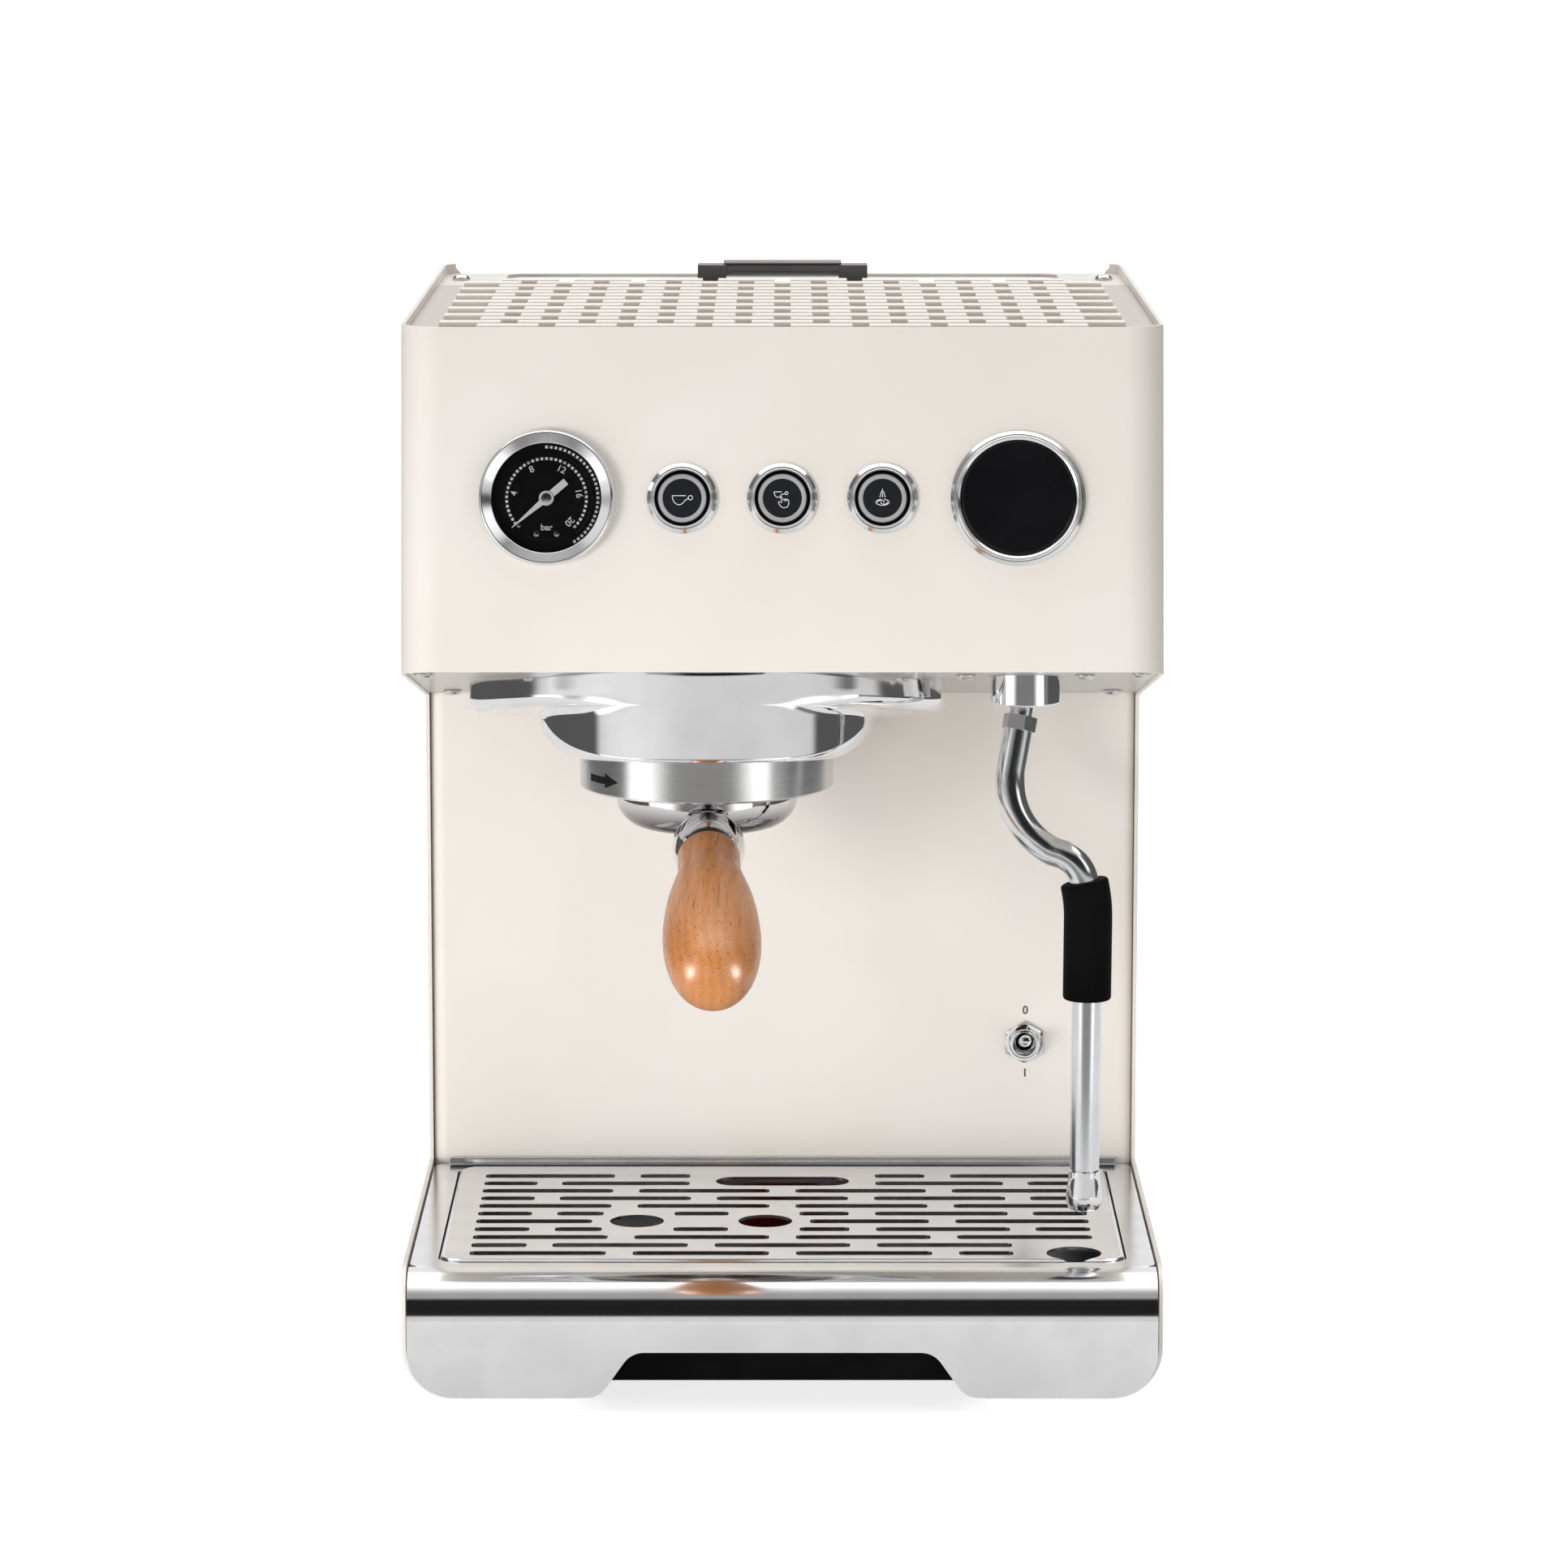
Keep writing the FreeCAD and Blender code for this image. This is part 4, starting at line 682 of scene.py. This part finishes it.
edgeSet = {"weld": 0.02, "flat": 0.5, "sharp": 32, "segments": 2}
softEdges = {
    "body_shell": 0.35, "underside_plate": 0.3, "splash_panel": 0.3, "rear_panel": 0.3, "rear_deck": 0.3,
    "cup_tray": 1.1, "base_pan": 0.3, "feet": 0.4, "power_inlet": 0.5, "tank_seat": 0.5, "water_tank": 0.6,
    "tank_valve": 0.4, "tank_lid": 0.5, "tank_handle": 0.7, "drip_tray": 0.3, "tray_fascia": 0.5,
    "drip_grid": 0.55, "tray_float": 0.6, "toggle_nut": 0.25, "toggle_bushing": 0.25, "toggle_lever": 0.2,
    "panel_screws": 0.2, "steam_boss": 0.3, "wand_ball": 0.2, "wand_tube": 0.0, "group_collar": 0.2,
    "portafilter_bowl": 0.3, "portafilter_spout": 0.4, "filter_basket": 0.2, "wand_grip": 0.3,
    "wand_tip": 0.3,
}


def softCopy(nodeName, rounding):
    piece = bpy.data.objects.new(plainName(nodeName), frame["nodes"][nodeName].data.copy())
    bpy.context.collection.objects.link(piece)
    pickOnly(piece)
    editAll()
    bpy.ops.mesh.remove_doubles(threshold=edgeSet["weld"] * mm)
    bpy.ops.mesh.dissolve_limited(angle_limit=math.radians(edgeSet["flat"]))
    editDone()
    if rounding:
        applyModifier(piece, "BEVEL", {
            "width": rounding * mm, "segments": edgeSet["segments"], "limit_method": "ANGLE",
            "angle_limit": math.radians(edgeSet["sharp"]), "use_clamp_overlap": True})
    smoothShade(piece)
    return piece


ownFinish = {
    # the cup tray's paint is lighter as painted light, with painted shade between its pads
    "cup_tray": trayPaint(),
    # the underside's darker paint is painted shade
    "underside_plate": creamPaint("underPaint", creamSet["underShare"]),
    "tray_fascia": plated("fasciaChrome", brightPlate, roughness=0.09, wear=0.04),
    # the bowl's chrome has a painted dark reflection at its foot
    "portafilter_bowl": bowlChrome(),
}
for nodeName, rounding in softEdges.items():
    settle(softCopy(nodeName, rounding), nodeName, finish=ownFinish.get(nodeName))
print("carried-over pieces:", len(softEdges))


# Front controls, on one line across the leaning face

faceSet = {"lean": 80, "gauge": -86.0, "display": 86.0, "buttons": (-36.5, 0.0, 36.5)}
bezelChrome = plated("bezelChrome", rgb(0.82, 0.82, 0.83), roughness=0.14, wear=0.04)


def onFace(across, lift=0.0, turn=0.0):
    # Z out of the face, Y up along it
    line = Vector(joints["needle_turn"]["pos_m"])
    spot = Matrix.Translation((across * mm, line.y, line.z))
    spot = spot @ Matrix.Rotation(math.radians(faceSet["lean"]), 4, "X")
    return spot @ Matrix.Translation((0, 0, lift * mm)) @ Matrix.Rotation(math.radians(turn), 4, "Z")


def polar(radius, angle):
    return radius * math.cos(angle), radius * math.sin(angle)


def arcOf(radius, first, last, steps=24):
    angles = [math.radians(first + (last - first) * k / steps) for k in range(steps + 1)]
    return [polar(radius, angle) for angle in angles]


def ovalArc(x, y, wide, high, first, last, steps):
    # part of an oval about (x, y)
    return [(x + across * wide, y + up * high) for across, up in arcOf(1, first, last, steps)]


# ticks run clockwise where sweep is below zero; lifts are from the face
gaugeSet = {
    "around": 128,
    "bezel": [(20.5, 0), (24.8, 0), (24.8, 4.5, 0.5), (24.3, 5.4, 0.3), (23.7, 5.8, 0.3), (20.1, 4.0, 0.2),
              (19.9, 3.6), (20.5, 3.6)],
    "glass": [(0, 2.8), (20.4, 2.8), (20.4, 3.6), (0, 3.6)],
    "dial": [(1.06, -1.0), (20.3, -1.0), (20.3, -0.2), (1.06, -0.2)],
    "ticks": [{"radius": 14.55, "length": 1.25, "width": 0.55, "first": 225, "sweep": -270, "gaps": 40},
              {"radius": 14.55, "length": 1.45, "width": 1.35, "first": 171, "sweep": -216, "gaps": 4},
              {"radius": 18.75, "length": 1.0, "width": 0.4, "first": 90, "sweep": -147, "gaps": 28}],
    "numbers": [("4", 171), ("8", 117), ("12", 63), ("16", 9), ("20", -45)], "numberRadius": 11.9,
    "numberHeight": 2.4, "unitDrop": 10.6, "unitHeight": 2.3, "markLift": -0.16,
    "arcs": [(16.6, 75, -50), (15.4, -118, -62)], "arcWidth": 0.28, "arcLift": -0.2,
}


def tickRing(radius, length, width, first, sweep, gaps):
    # one tick, then the rest of its row
    turn = math.radians(first)
    x, y = polar(radius, turn)
    ring = newPiece("ticks", bpy.ops.mesh.primitive_plane_add, size=mm, rotation=(0, 0, turn),
                    scale=(length, width, 1), location=(x * mm, y * mm, 0))
    bpy.ops.object.transform_apply(location=True, rotation=True, scale=True)
    editAll()
    bpy.ops.mesh.spin(steps=gaps, dupli=True, angle=math.radians(-sweep), center=(0, 0, 0), axis=(0, 0, 1))
    editDone()
    return ring


def atAngle(radius, angle, turn):
    x, y = polar(radius, math.radians(angle))
    return Matrix.Translation((x * mm, y * mm, 0)) @ Matrix.Rotation(math.radians(turn), 4, "Z")


def buildGauge():
    spot = onFace(faceSet["gauge"])
    around = gaugeSet["around"]
    settle(spinPiece("gaugeBezel", eased(gaugeSet["bezel"]), spot, around), "gauge_bezel", finish=bezelChrome)
    settle(spinPiece("gaugeGlass", eased(gaugeSet["glass"]), spot, around), "gauge_glass")
    settle(spinPiece("gaugeDial", eased(gaugeSet["dial"]), spot, around), "gauge_dial")
    marks = [tickRing(**row) for row in gaugeSet["ticks"]]
    for word, angle in gaugeSet["numbers"]:
        place = atAngle(gaugeSet["numberRadius"], angle, angle - 90)
        marks.append(wordPiece(word, gaugeSet["numberHeight"], place))
    marks.append(wordPiece("bar", gaugeSet["unitHeight"], atAngle(gaugeSet["unitDrop"], -90, 0)))
    marks = joinAll("dialMarks", marks)
    thicken(marks, wordSet["thickness"])
    setDown(marks, onFace(faceSet["gauge"], gaugeSet["markLift"]))
    settle(marks, "gauge_dial", "needle_cream", hide=False)
    arcs = [arcOf(*arc) for arc in gaugeSet["arcs"]]
    arcSpot = onFace(faceSet["gauge"], gaugeSet["arcLift"])
    arcs = linePiece("dialArcs", arcs, gaugeSet["arcWidth"] / 2, arcSpot)
    settle(arcs, "gauge_dial", "dark_steel", hide=False)


# each stud is (x, y, radius); crown is the share of the radius where the dome turns over
studSet = {"studs": [(3.7, -13.1, 1.4), (-3.7, -13.1, 1.4), (-10.1, -10.1, 1.0)], "around": 24,
           "foot": -0.3, "edge": (0.1, 0.2), "crown": 0.7, "crownEdge": (0.5, 0.3), "top": 0.6}


def buildStuds():
    studs = []
    for x, y, radius in studSet["studs"]:
        dome = [(0, studSet["foot"]), (radius, studSet["foot"]), (radius, *studSet["edge"]),
                (radius * studSet["crown"], *studSet["crownEdge"]), (0, studSet["top"])]
        spot = onFace(faceSet["gauge"]) @ Matrix.Translation((x * mm, y * mm, 0))
        studs.append(spinPiece("stud", eased(dome), spot, studSet["around"]))
    settle(joinAll("dialStuds", studs), "gauge_dial", "turned_steel", hide=False)


needleSet = {
    "rest": 220.5, "thickness": 0.5, "lift": 1.3, "around": 48,
    "blade": [(-9.4, -1.32), (-2.0, -1.32), (2.0, -1.1), (16.5, -0.12), (16.5, 0.12), (2.0, 1.1),
              (-2.0, 1.32), (-9.4, 1.32)],
    "hubRing": [(1.9, 0.7), (2.75, 0.7), (2.75, 2.1, 0.2), (2.2, 2.4, 0.2), (1.9, 2.2)],
    "hub": [(0, 0.7), (2.15, 0.7), (2.15, 2.2, 0.15), (0, 2.3)],
}


def buildNeedle():
    spot = onFace(faceSet["gauge"])
    bladeSpot = onFace(faceSet["gauge"], needleSet["lift"], needleSet["rest"])
    blade = sheetPiece("needleBlade", needleSet["blade"], needleSet["thickness"], bladeSpot)
    ring = spinPiece("needleRing", eased(needleSet["hubRing"]), spot, needleSet["around"])
    settle(joinAll("gaugeNeedle", [blade, ring]), "gauge_needle")
    hub = spinPiece("needleHub", eased(needleSet["hub"]), spot, needleSet["around"])
    settle(hub, "gauge_needle", "polished_steel", hide=False)


buttonSet = {
    "around": 80, "easeSteps": 4, "lineRadius": 0.13, "lineLift": 1.86,
    "bezel": [(9.8, -6), (10.8, -6), (10.8, 0), (13.0, 0), (13.0, 0.9, 0.3), (11.35, 2.4, 0.3),
              (11.1, 2.1, 0.05), (10.95, 2.8, 0.1), (10.55, 3.3, 0.2), (10.1, 2.6, 0.2), (9.8, 1.0)],
    "body": [(0, -14), (3, -14), (3, -3), (9.3, -3), (9.3, 1.1), (7.06, 1.1), (7.06, 1.75, 0.2), (0, 1.85)],
    "ring": [(7.1, 1.1), (8.8, 1.1), (8.8, 1.9, 0.25), (8.5, 2.1, 0.2), (7.4, 2.1, 0.2), (7.1, 1.8, 0.1)],
}
iconSet = {
    "button_cup": [
        [(-3.6, 0.9), (1.3, 0.9)],
        [(-3.6, 0.9)] + ovalArc(-1.15, 0.9, 2.45, 3.3, 180, 325, 18) + [(2.3, 0.0)],
        ovalArc(3.0, 0.15, 0.8, 0.8, 0, 360, 16)],
    "button_manual": [
        [(-3.0, 2.3), (-0.2, 2.3)],
        [(-3.0, 2.3)] + ovalArc(-1.6, 2.3, 1.4, 2.0, 180, 330, 12) + [(0.9, 1.6)],
        ovalArc(1.5, 1.8, 0.55, 0.55, 0, 360, 12),
        [(-0.7, 0.3), (-0.2, 0.5), (0.3, -0.7), (1.0, -0.3), (1.7, -0.4), (2.3, -0.8), (2.4, -2.0),
         (1.9, -3.2), (0.4, -3.6), (-0.8, -2.8), (-1.4, -1.7), (-1.2, -1.2), (-0.5, -1.6), (-0.1, -1.5),
         (-0.7, 0.3)],
        [(1.0, -0.3), (0.9, -1.2)],
        [(1.7, -0.4), (1.6, -1.2)]],
    "button_steam": [
        [(0, 3.4), (0, 2.4)],
        [(-0.4, 2.4), (0.4, 2.4)],
        [(-0.4, 2.4), (-1.0, 0.3)],
        [(0.4, 2.4), (1.0, 0.3)],
        [(0, 2.0), (0, 0.3)],
        ovalArc(0, -1.5, 2.4, 1.1, 100, 440, 28),
        ovalArc(-0.6, -1.4, 1.2, 0.6, -20, 200, 14),
        ovalArc(0.6, -1.6, 1.2, 0.6, 160, 380, 14)],
}


def turnedButton(name, shape, across):
    outline = eased(buttonSet[shape], buttonSet["easeSteps"])
    return spinPiece(name, outline, onFace(across), buttonSet["around"])


def buildButtons():
    ringGrey = moulded("ringGrey", rgb(0.36, 0.36, 0.37), roughness=0.35)
    bezels = [turnedButton("bezel", "bezel", across) for across in faceSet["buttons"]]
    settle(joinAll("buttonBezels", bezels), "button_bezels", finish=bezelChrome)
    for across, (nodeName, icon) in zip(faceSet["buttons"], iconSet.items()):
        name = plainName(nodeName)
        settle(turnedButton(name, "body", across), nodeName)
        ring = turnedButton(name + "Ring", "ring", across)
        settle(ring, nodeName, "white_plastic", hide=False, finish=ringGrey)
        lineSpot = onFace(across, buttonSet["lineLift"])
        lines = linePiece(name + "Icon", icon, buttonSet["lineRadius"], lineSpot)
        settle(lines, nodeName, "needle_cream", hide=False)


displaySet = {
    "around": 128,
    "bezel": [(21.05, 0), (24.8, 0), (24.8, 0.9, 0.3), (23.3, 2.4, 0.3), (23.1, 2.3, 0.05),
              (22.9, 3.1, 0.15), (22.3, 3.8, 0.3), (21.15, 3.0, 0.2), (21.05, 2.2)],
    "lens": [(0, 0.8), (21.0, 0.8), (21.0, 2.3, 0.3), (20.3, 2.85, 0.5), (12, 3.1), (0, 3.2)],
}


def buildDisplay():
    spot = onFace(faceSet["display"])
    around = displaySet["around"]
    bezel = spinPiece("displayBezel", eased(displaySet["bezel"]), spot, around)
    settle(bezel, "display_bezel", finish=bezelChrome)
    settle(spinPiece("displayGlass", eased(displaySet["lens"]), spot, around), "display_glass")


buildGauge()
buildStuds()
buildNeedle()
buildButtons()
buildDisplay()
print("front controls built")


# Group cowl, collar and portafilter

groupSpot = Vector(joints["portafilter_turn"]["pos_m"])
cowlSet = {
    "halfSpan": 89.2, "halfDepth": 60.0, "endRadius": 35.0, "bowl": 63.0, "brim": 12.0, "hem": 5.0,
    "inner": 5.0, "edge": 0.15, "crease": 4.0, "bottom": 231.0, "sideFoot": 15.0, "frontFoot": 1.6,
    "footFade": (0.05, 0.9), "mouth": 51.0, "wall": 3.0, "floorIn": 8, "floorRise": 10, "blend": 5.0,
    "brimFade": (1.0, 9.0), "tip": 6.0, "plateFront": -110.0, "plateHeight": 271.0, "plateFall": 0.2,
    "recess": 1.0, "sheetEdge": -107.0, "sheetTop": 270.7, "back": 2.2, "lean": 0.17,
    "around": 240, "flatSteps": 4, "wallSteps": 3, "roundSteps": 8, "footSteps": 12, "smooth": 50,
}


def smoothShare(value, low, high):
    t = max(0.0, min(1.0, (value - low) / (high - low)))
    return t * t * (3 - 2 * t)


def ovalRadius(turn):
    # distance from the middle to an outline of four arcs
    span, depth, end = cowlSet["halfSpan"], cowlSet["halfDepth"], cowlSet["endRadius"]
    reach = span - end
    side = (reach ** 2 + depth ** 2 - end ** 2) / 2 / (depth - end)
    x, y = abs(math.cos(turn)), abs(math.sin(turn))
    drop = side - depth
    long = -drop * y + math.sqrt((drop * y) ** 2 - drop ** 2 + side ** 2)
    short = reach * x + math.sqrt(max(0, (reach * x) ** 2 - reach ** 2 + end ** 2))
    return short if short * y * reach < (short * x - reach) * drop else long


def quarter(steps):
    return [math.pi / 2 * k / steps for k in range(1, steps + 1)]


def cowlProfile(turn):
    # points from the brim's top round to the mouth, at one angle about the group
    bowl, hem, crease, edge = (cowlSet[key] for key in ("bowl", "hem", "crease", "edge"))
    flats, walls, rounds = cowlSet["flatSteps"], cowlSet["wallSteps"], quarter(cowlSet["roundSteps"])
    ahead = math.sin(turn)
    over = ovalRadius(turn) - bowl
    over = (over + math.sqrt(over ** 2 + cowlSet["blend"] ** 2)) / 2
    over *= smoothShare(over, *cowlSet["brimFade"])
    share = min(1.0, over / (hem + crease))
    rim = bowl + over
    depth = groupSpot.y / mm + rim * ahead
    plate = cowlSet["plateHeight"] - cowlSet["plateFall"] * (depth - cowlSet["plateFront"])
    top = plate + cowlSet["recess"]
    if depth < cowlSet["sheetEdge"]:
        top = min(top, cowlSet["sheetTop"])
    low = plate - cowlSet["brim"]
    sideways = smoothShare(1 + ahead, *cowlSet["footFade"])
    foot = cowlSet["frontFoot"] + (cowlSet["sideFoot"] - cowlSet["frontFoot"]) * sideways
    tip = math.tan(math.radians(cowlSet["tip"]))
    bottom = cowlSet["bottom"] - tip * bowl * ahead
    footTop = bottom + foot

    def wallAt(height):
        drop = max(0.0, footTop - height)
        return bowl - foot + math.sqrt(max(0.0, foot ** 2 - drop ** 2))

    line = [(rim - cowlSet["inner"], top), (rim - edge, top), (rim, top - edge)]
    line += [(rim, top - edge + (low + hem - top + edge) * k / flats) for k in range(1, flats + 1)]
    line += [(rim - hem * share * (1 - math.cos(a)), low + hem * (1 - math.sin(a))) for a in rounds]
    begin = low - crease
    inner = wallAt(begin) + crease * share
    last = line[-1][0]
    line += [(last + (inner - last) * k / flats, low) for k in range(1, flats + 1)]
    line += [(inner - crease * share * math.sin(a), low - crease * (1 - math.cos(a))) for a in rounds]
    if begin > footTop:
        line += [(bowl, begin + (footTop - begin) * k / walls) for k in range(1, walls + 1)]
        begin = footTop
    else:
        line += [(wallAt(begin), begin)] * walls
    heights = [begin + (bottom - begin) * math.sin(a) for a in quarter(cowlSet["footSteps"])]
    line += [(wallAt(height), height) for height in heights]
    mouth, wall = cowlSet["mouth"], cowlSet["wall"]
    line += [(mouth, bottom), (mouth, bottom + wall), (bowl - cowlSet["floorIn"], bottom + wall),
             (bowl - wall, bottom + cowlSet["floorRise"]), (bowl - wall, top)]
    # the brim stands square to the sloping plate, and the bowl leans a little the same way
    placed = []
    for radius, height in line:
        brim = share * max(0.0, min(top - height, cowlSet["brim"]))
        shift = cowlSet["back"] - cowlSet["lean"] * brim - tip * (top - height - brim)
        placed.append((radius, height, shift))
    return placed


def buildCowl():
    # a grid bent round the group, one column for each angle and one row for each profile point
    around = cowlSet["around"]
    columns = [cowlProfile(2 * math.pi * i / around) for i in range(around)]
    rows = len(columns[0])
    cowl = newPiece("groupCowl", bpy.ops.mesh.primitive_grid_add, x_subdivisions=around, y_subdivisions=rows,
                    size=1)
    for index, vertex in enumerate(cowl.data.vertices):
        column, row = index % (around + 1), index // (around + 1)
        radius, height, shift = columns[column % around][row % rows]
        turn = 2 * math.pi * column / around
        vertex.co = (groupSpot.x + radius * math.cos(turn) * mm,
                     groupSpot.y + (radius * math.sin(turn) + shift) * mm, height * mm)
    cleanUp(cowl)
    smoothShade(cowl, cowlSet["smooth"])
    settle(cowl, "group_cowl", finish=plated("cowlChrome", brightPlate, roughness=0.05, wear=0.04))


arrowSet = {"radius": 47.52, "height": 225.6, "first": -64.5, "length": 17.7, "shaft": 10.4,
            "shaftHalf": 1.35, "shaftSteps": 12, "headHalf": 2.8, "headSteps": 8, "pointHalf": 0.02,
            "thickness": 0.06}


def buildArrow():
    # a plain arrow printed round the collar, to show which way the handle locks
    shaft, shaftSteps, headSteps = arrowSet["shaft"], arrowSet["shaftSteps"], arrowSet["headSteps"]
    columns = [(shaft * k / shaftSteps, arrowSet["shaftHalf"]) for k in range(shaftSteps + 1)]
    for k in range(headSteps + 1):
        along = shaft + (arrowSet["length"] - shaft) * k / headSteps
        columns.append((along, arrowSet["headHalf"] * (1 - k / headSteps) + arrowSet["pointHalf"]))
    arrow = newPiece("collarArrow", bpy.ops.mesh.primitive_grid_add, x_subdivisions=len(columns) - 1,
                     y_subdivisions=1, size=1)
    for index, vertex in enumerate(arrow.data.vertices):
        along, half = columns[index % len(columns)]
        turn = math.radians(arrowSet["first"]) + along / arrowSet["radius"]
        vertex.co = (groupSpot.x + arrowSet["radius"] * math.sin(turn) * mm,
                     groupSpot.y - arrowSet["radius"] * math.cos(turn) * mm,
                     (arrowSet["height"] + (half if index >= len(columns) else -half)) * mm)
    thicken(arrow, arrowSet["thickness"])
    settle(arrow, "group_collar", "dial_black", hide=False)


handleSet = {
    "tilt": 12.8, "yaw": 1.5, "around": 80, "smooth": 60,
    "neck": [(0, 30), (10.0, 30), (10.0, 40.6), (12.6, 41.2)],
    "bell": [(12.6, 41.2), (13.3, 42.2), (13.5, 43.6), (13.45, 46.0), (13.15, 49.5), (12.6, 53.0),
             (11.75, 56.4)],
    "lip": [(10.6, 56.4), (10.6, 47.0), (0, 47.0)],
    "tenon": [(0, 47), (10.5, 47), (10.5, 56.3)],
    "wood": [(11.45, 56.3), (11.5, 60), (11.5, 65), (11.5, 70), (11.75, 73.5), (13.1, 82), (14.8, 93),
             (16.2, 104), (17.3, 119), (17.6, 131), (17.2, 142), (15.6, 154), (12.6, 163.5), (7.6, 169.2),
             (0.0, 171.4)],
}


def onHandle(name, outline):
    # spun with Z out along the handle from the group's axis
    spot = (Matrix.Translation(groupSpot) @ Matrix.Rotation(math.radians(handleSet["yaw"]), 4, "Z")
            @ Matrix.Rotation(math.radians(90 + handleSet["tilt"]), 4, "X"))
    return spinPiece(name, outline, spot, handleSet["around"], handleSet["smooth"])


def buildHandle():
    neck = handleSet["neck"] + flowing(handleSet["bell"])[1:] + handleSet["lip"]
    settle(onHandle("portafilterNeck", neck), "portafilter_neck")
    wood = handleSet["tenon"] + flowing(handleSet["wood"])
    return settle(onHandle("portafilterHandle", wood), "portafilter_handle")


buildCowl()
buildArrow()
addSparks(buildHandle())
print("group built")


# Painted shade behind the drawer's finger notch: a dark sheet where the inside is in shadow

notchShadeSet = {"half": 70.0, "front": -121.0, "back": -118.3, "low": 8.0, "high": 24.0, "rounding": 0.8}


def buildNotchShade():
    # a dark sheet that stands in for the shade inside: painted shade
    notchShade = newPiece("notchLiner", bpy.ops.mesh.primitive_cube_add, size=1)
    front, back, low, high = (notchShadeSet[key] for key in ("front", "back", "low", "high"))
    middle = Matrix.Translation((0, (front + back) / 2 * mm, (low + high) / 2 * mm))
    size = Matrix.Diagonal((2 * notchShadeSet["half"] * mm, (back - front) * mm, (high - low) * mm, 1))
    setDown(notchShade, middle @ size)
    applyModifier(notchShade, "BEVEL", {"width": notchShadeSet["rounding"] * mm, "segments": edgeSet["segments"]})
    smoothShade(notchShade)
    settle(notchShade, "tray_fascia", "black_rubber", hide=False)


buildNotchShade()
print("liner built")


# Marks beside the power toggle

toggleMarks = {"across": 96.0, "depth": 54.97, "height": 3.2, "marks": [("0", 112.0), ("I", 86.7)]}


def buildToggleMarks():
    marks = []
    for word, up in toggleMarks["marks"]:
        spot = Matrix.Translation((toggleMarks["across"] * mm, toggleMarks["depth"] * mm, up * mm))
        marks.append(wordPiece(word, toggleMarks["height"], spot @ Matrix.Rotation(math.pi / 2, 4, "X")))
    marks = joinAll("toggleMarks", marks)
    thicken(marks, wordSet["thickness"])
    settle(marks, "splash_panel", "dark_steel", hide=False)


buildToggleMarks()
print("marks built")
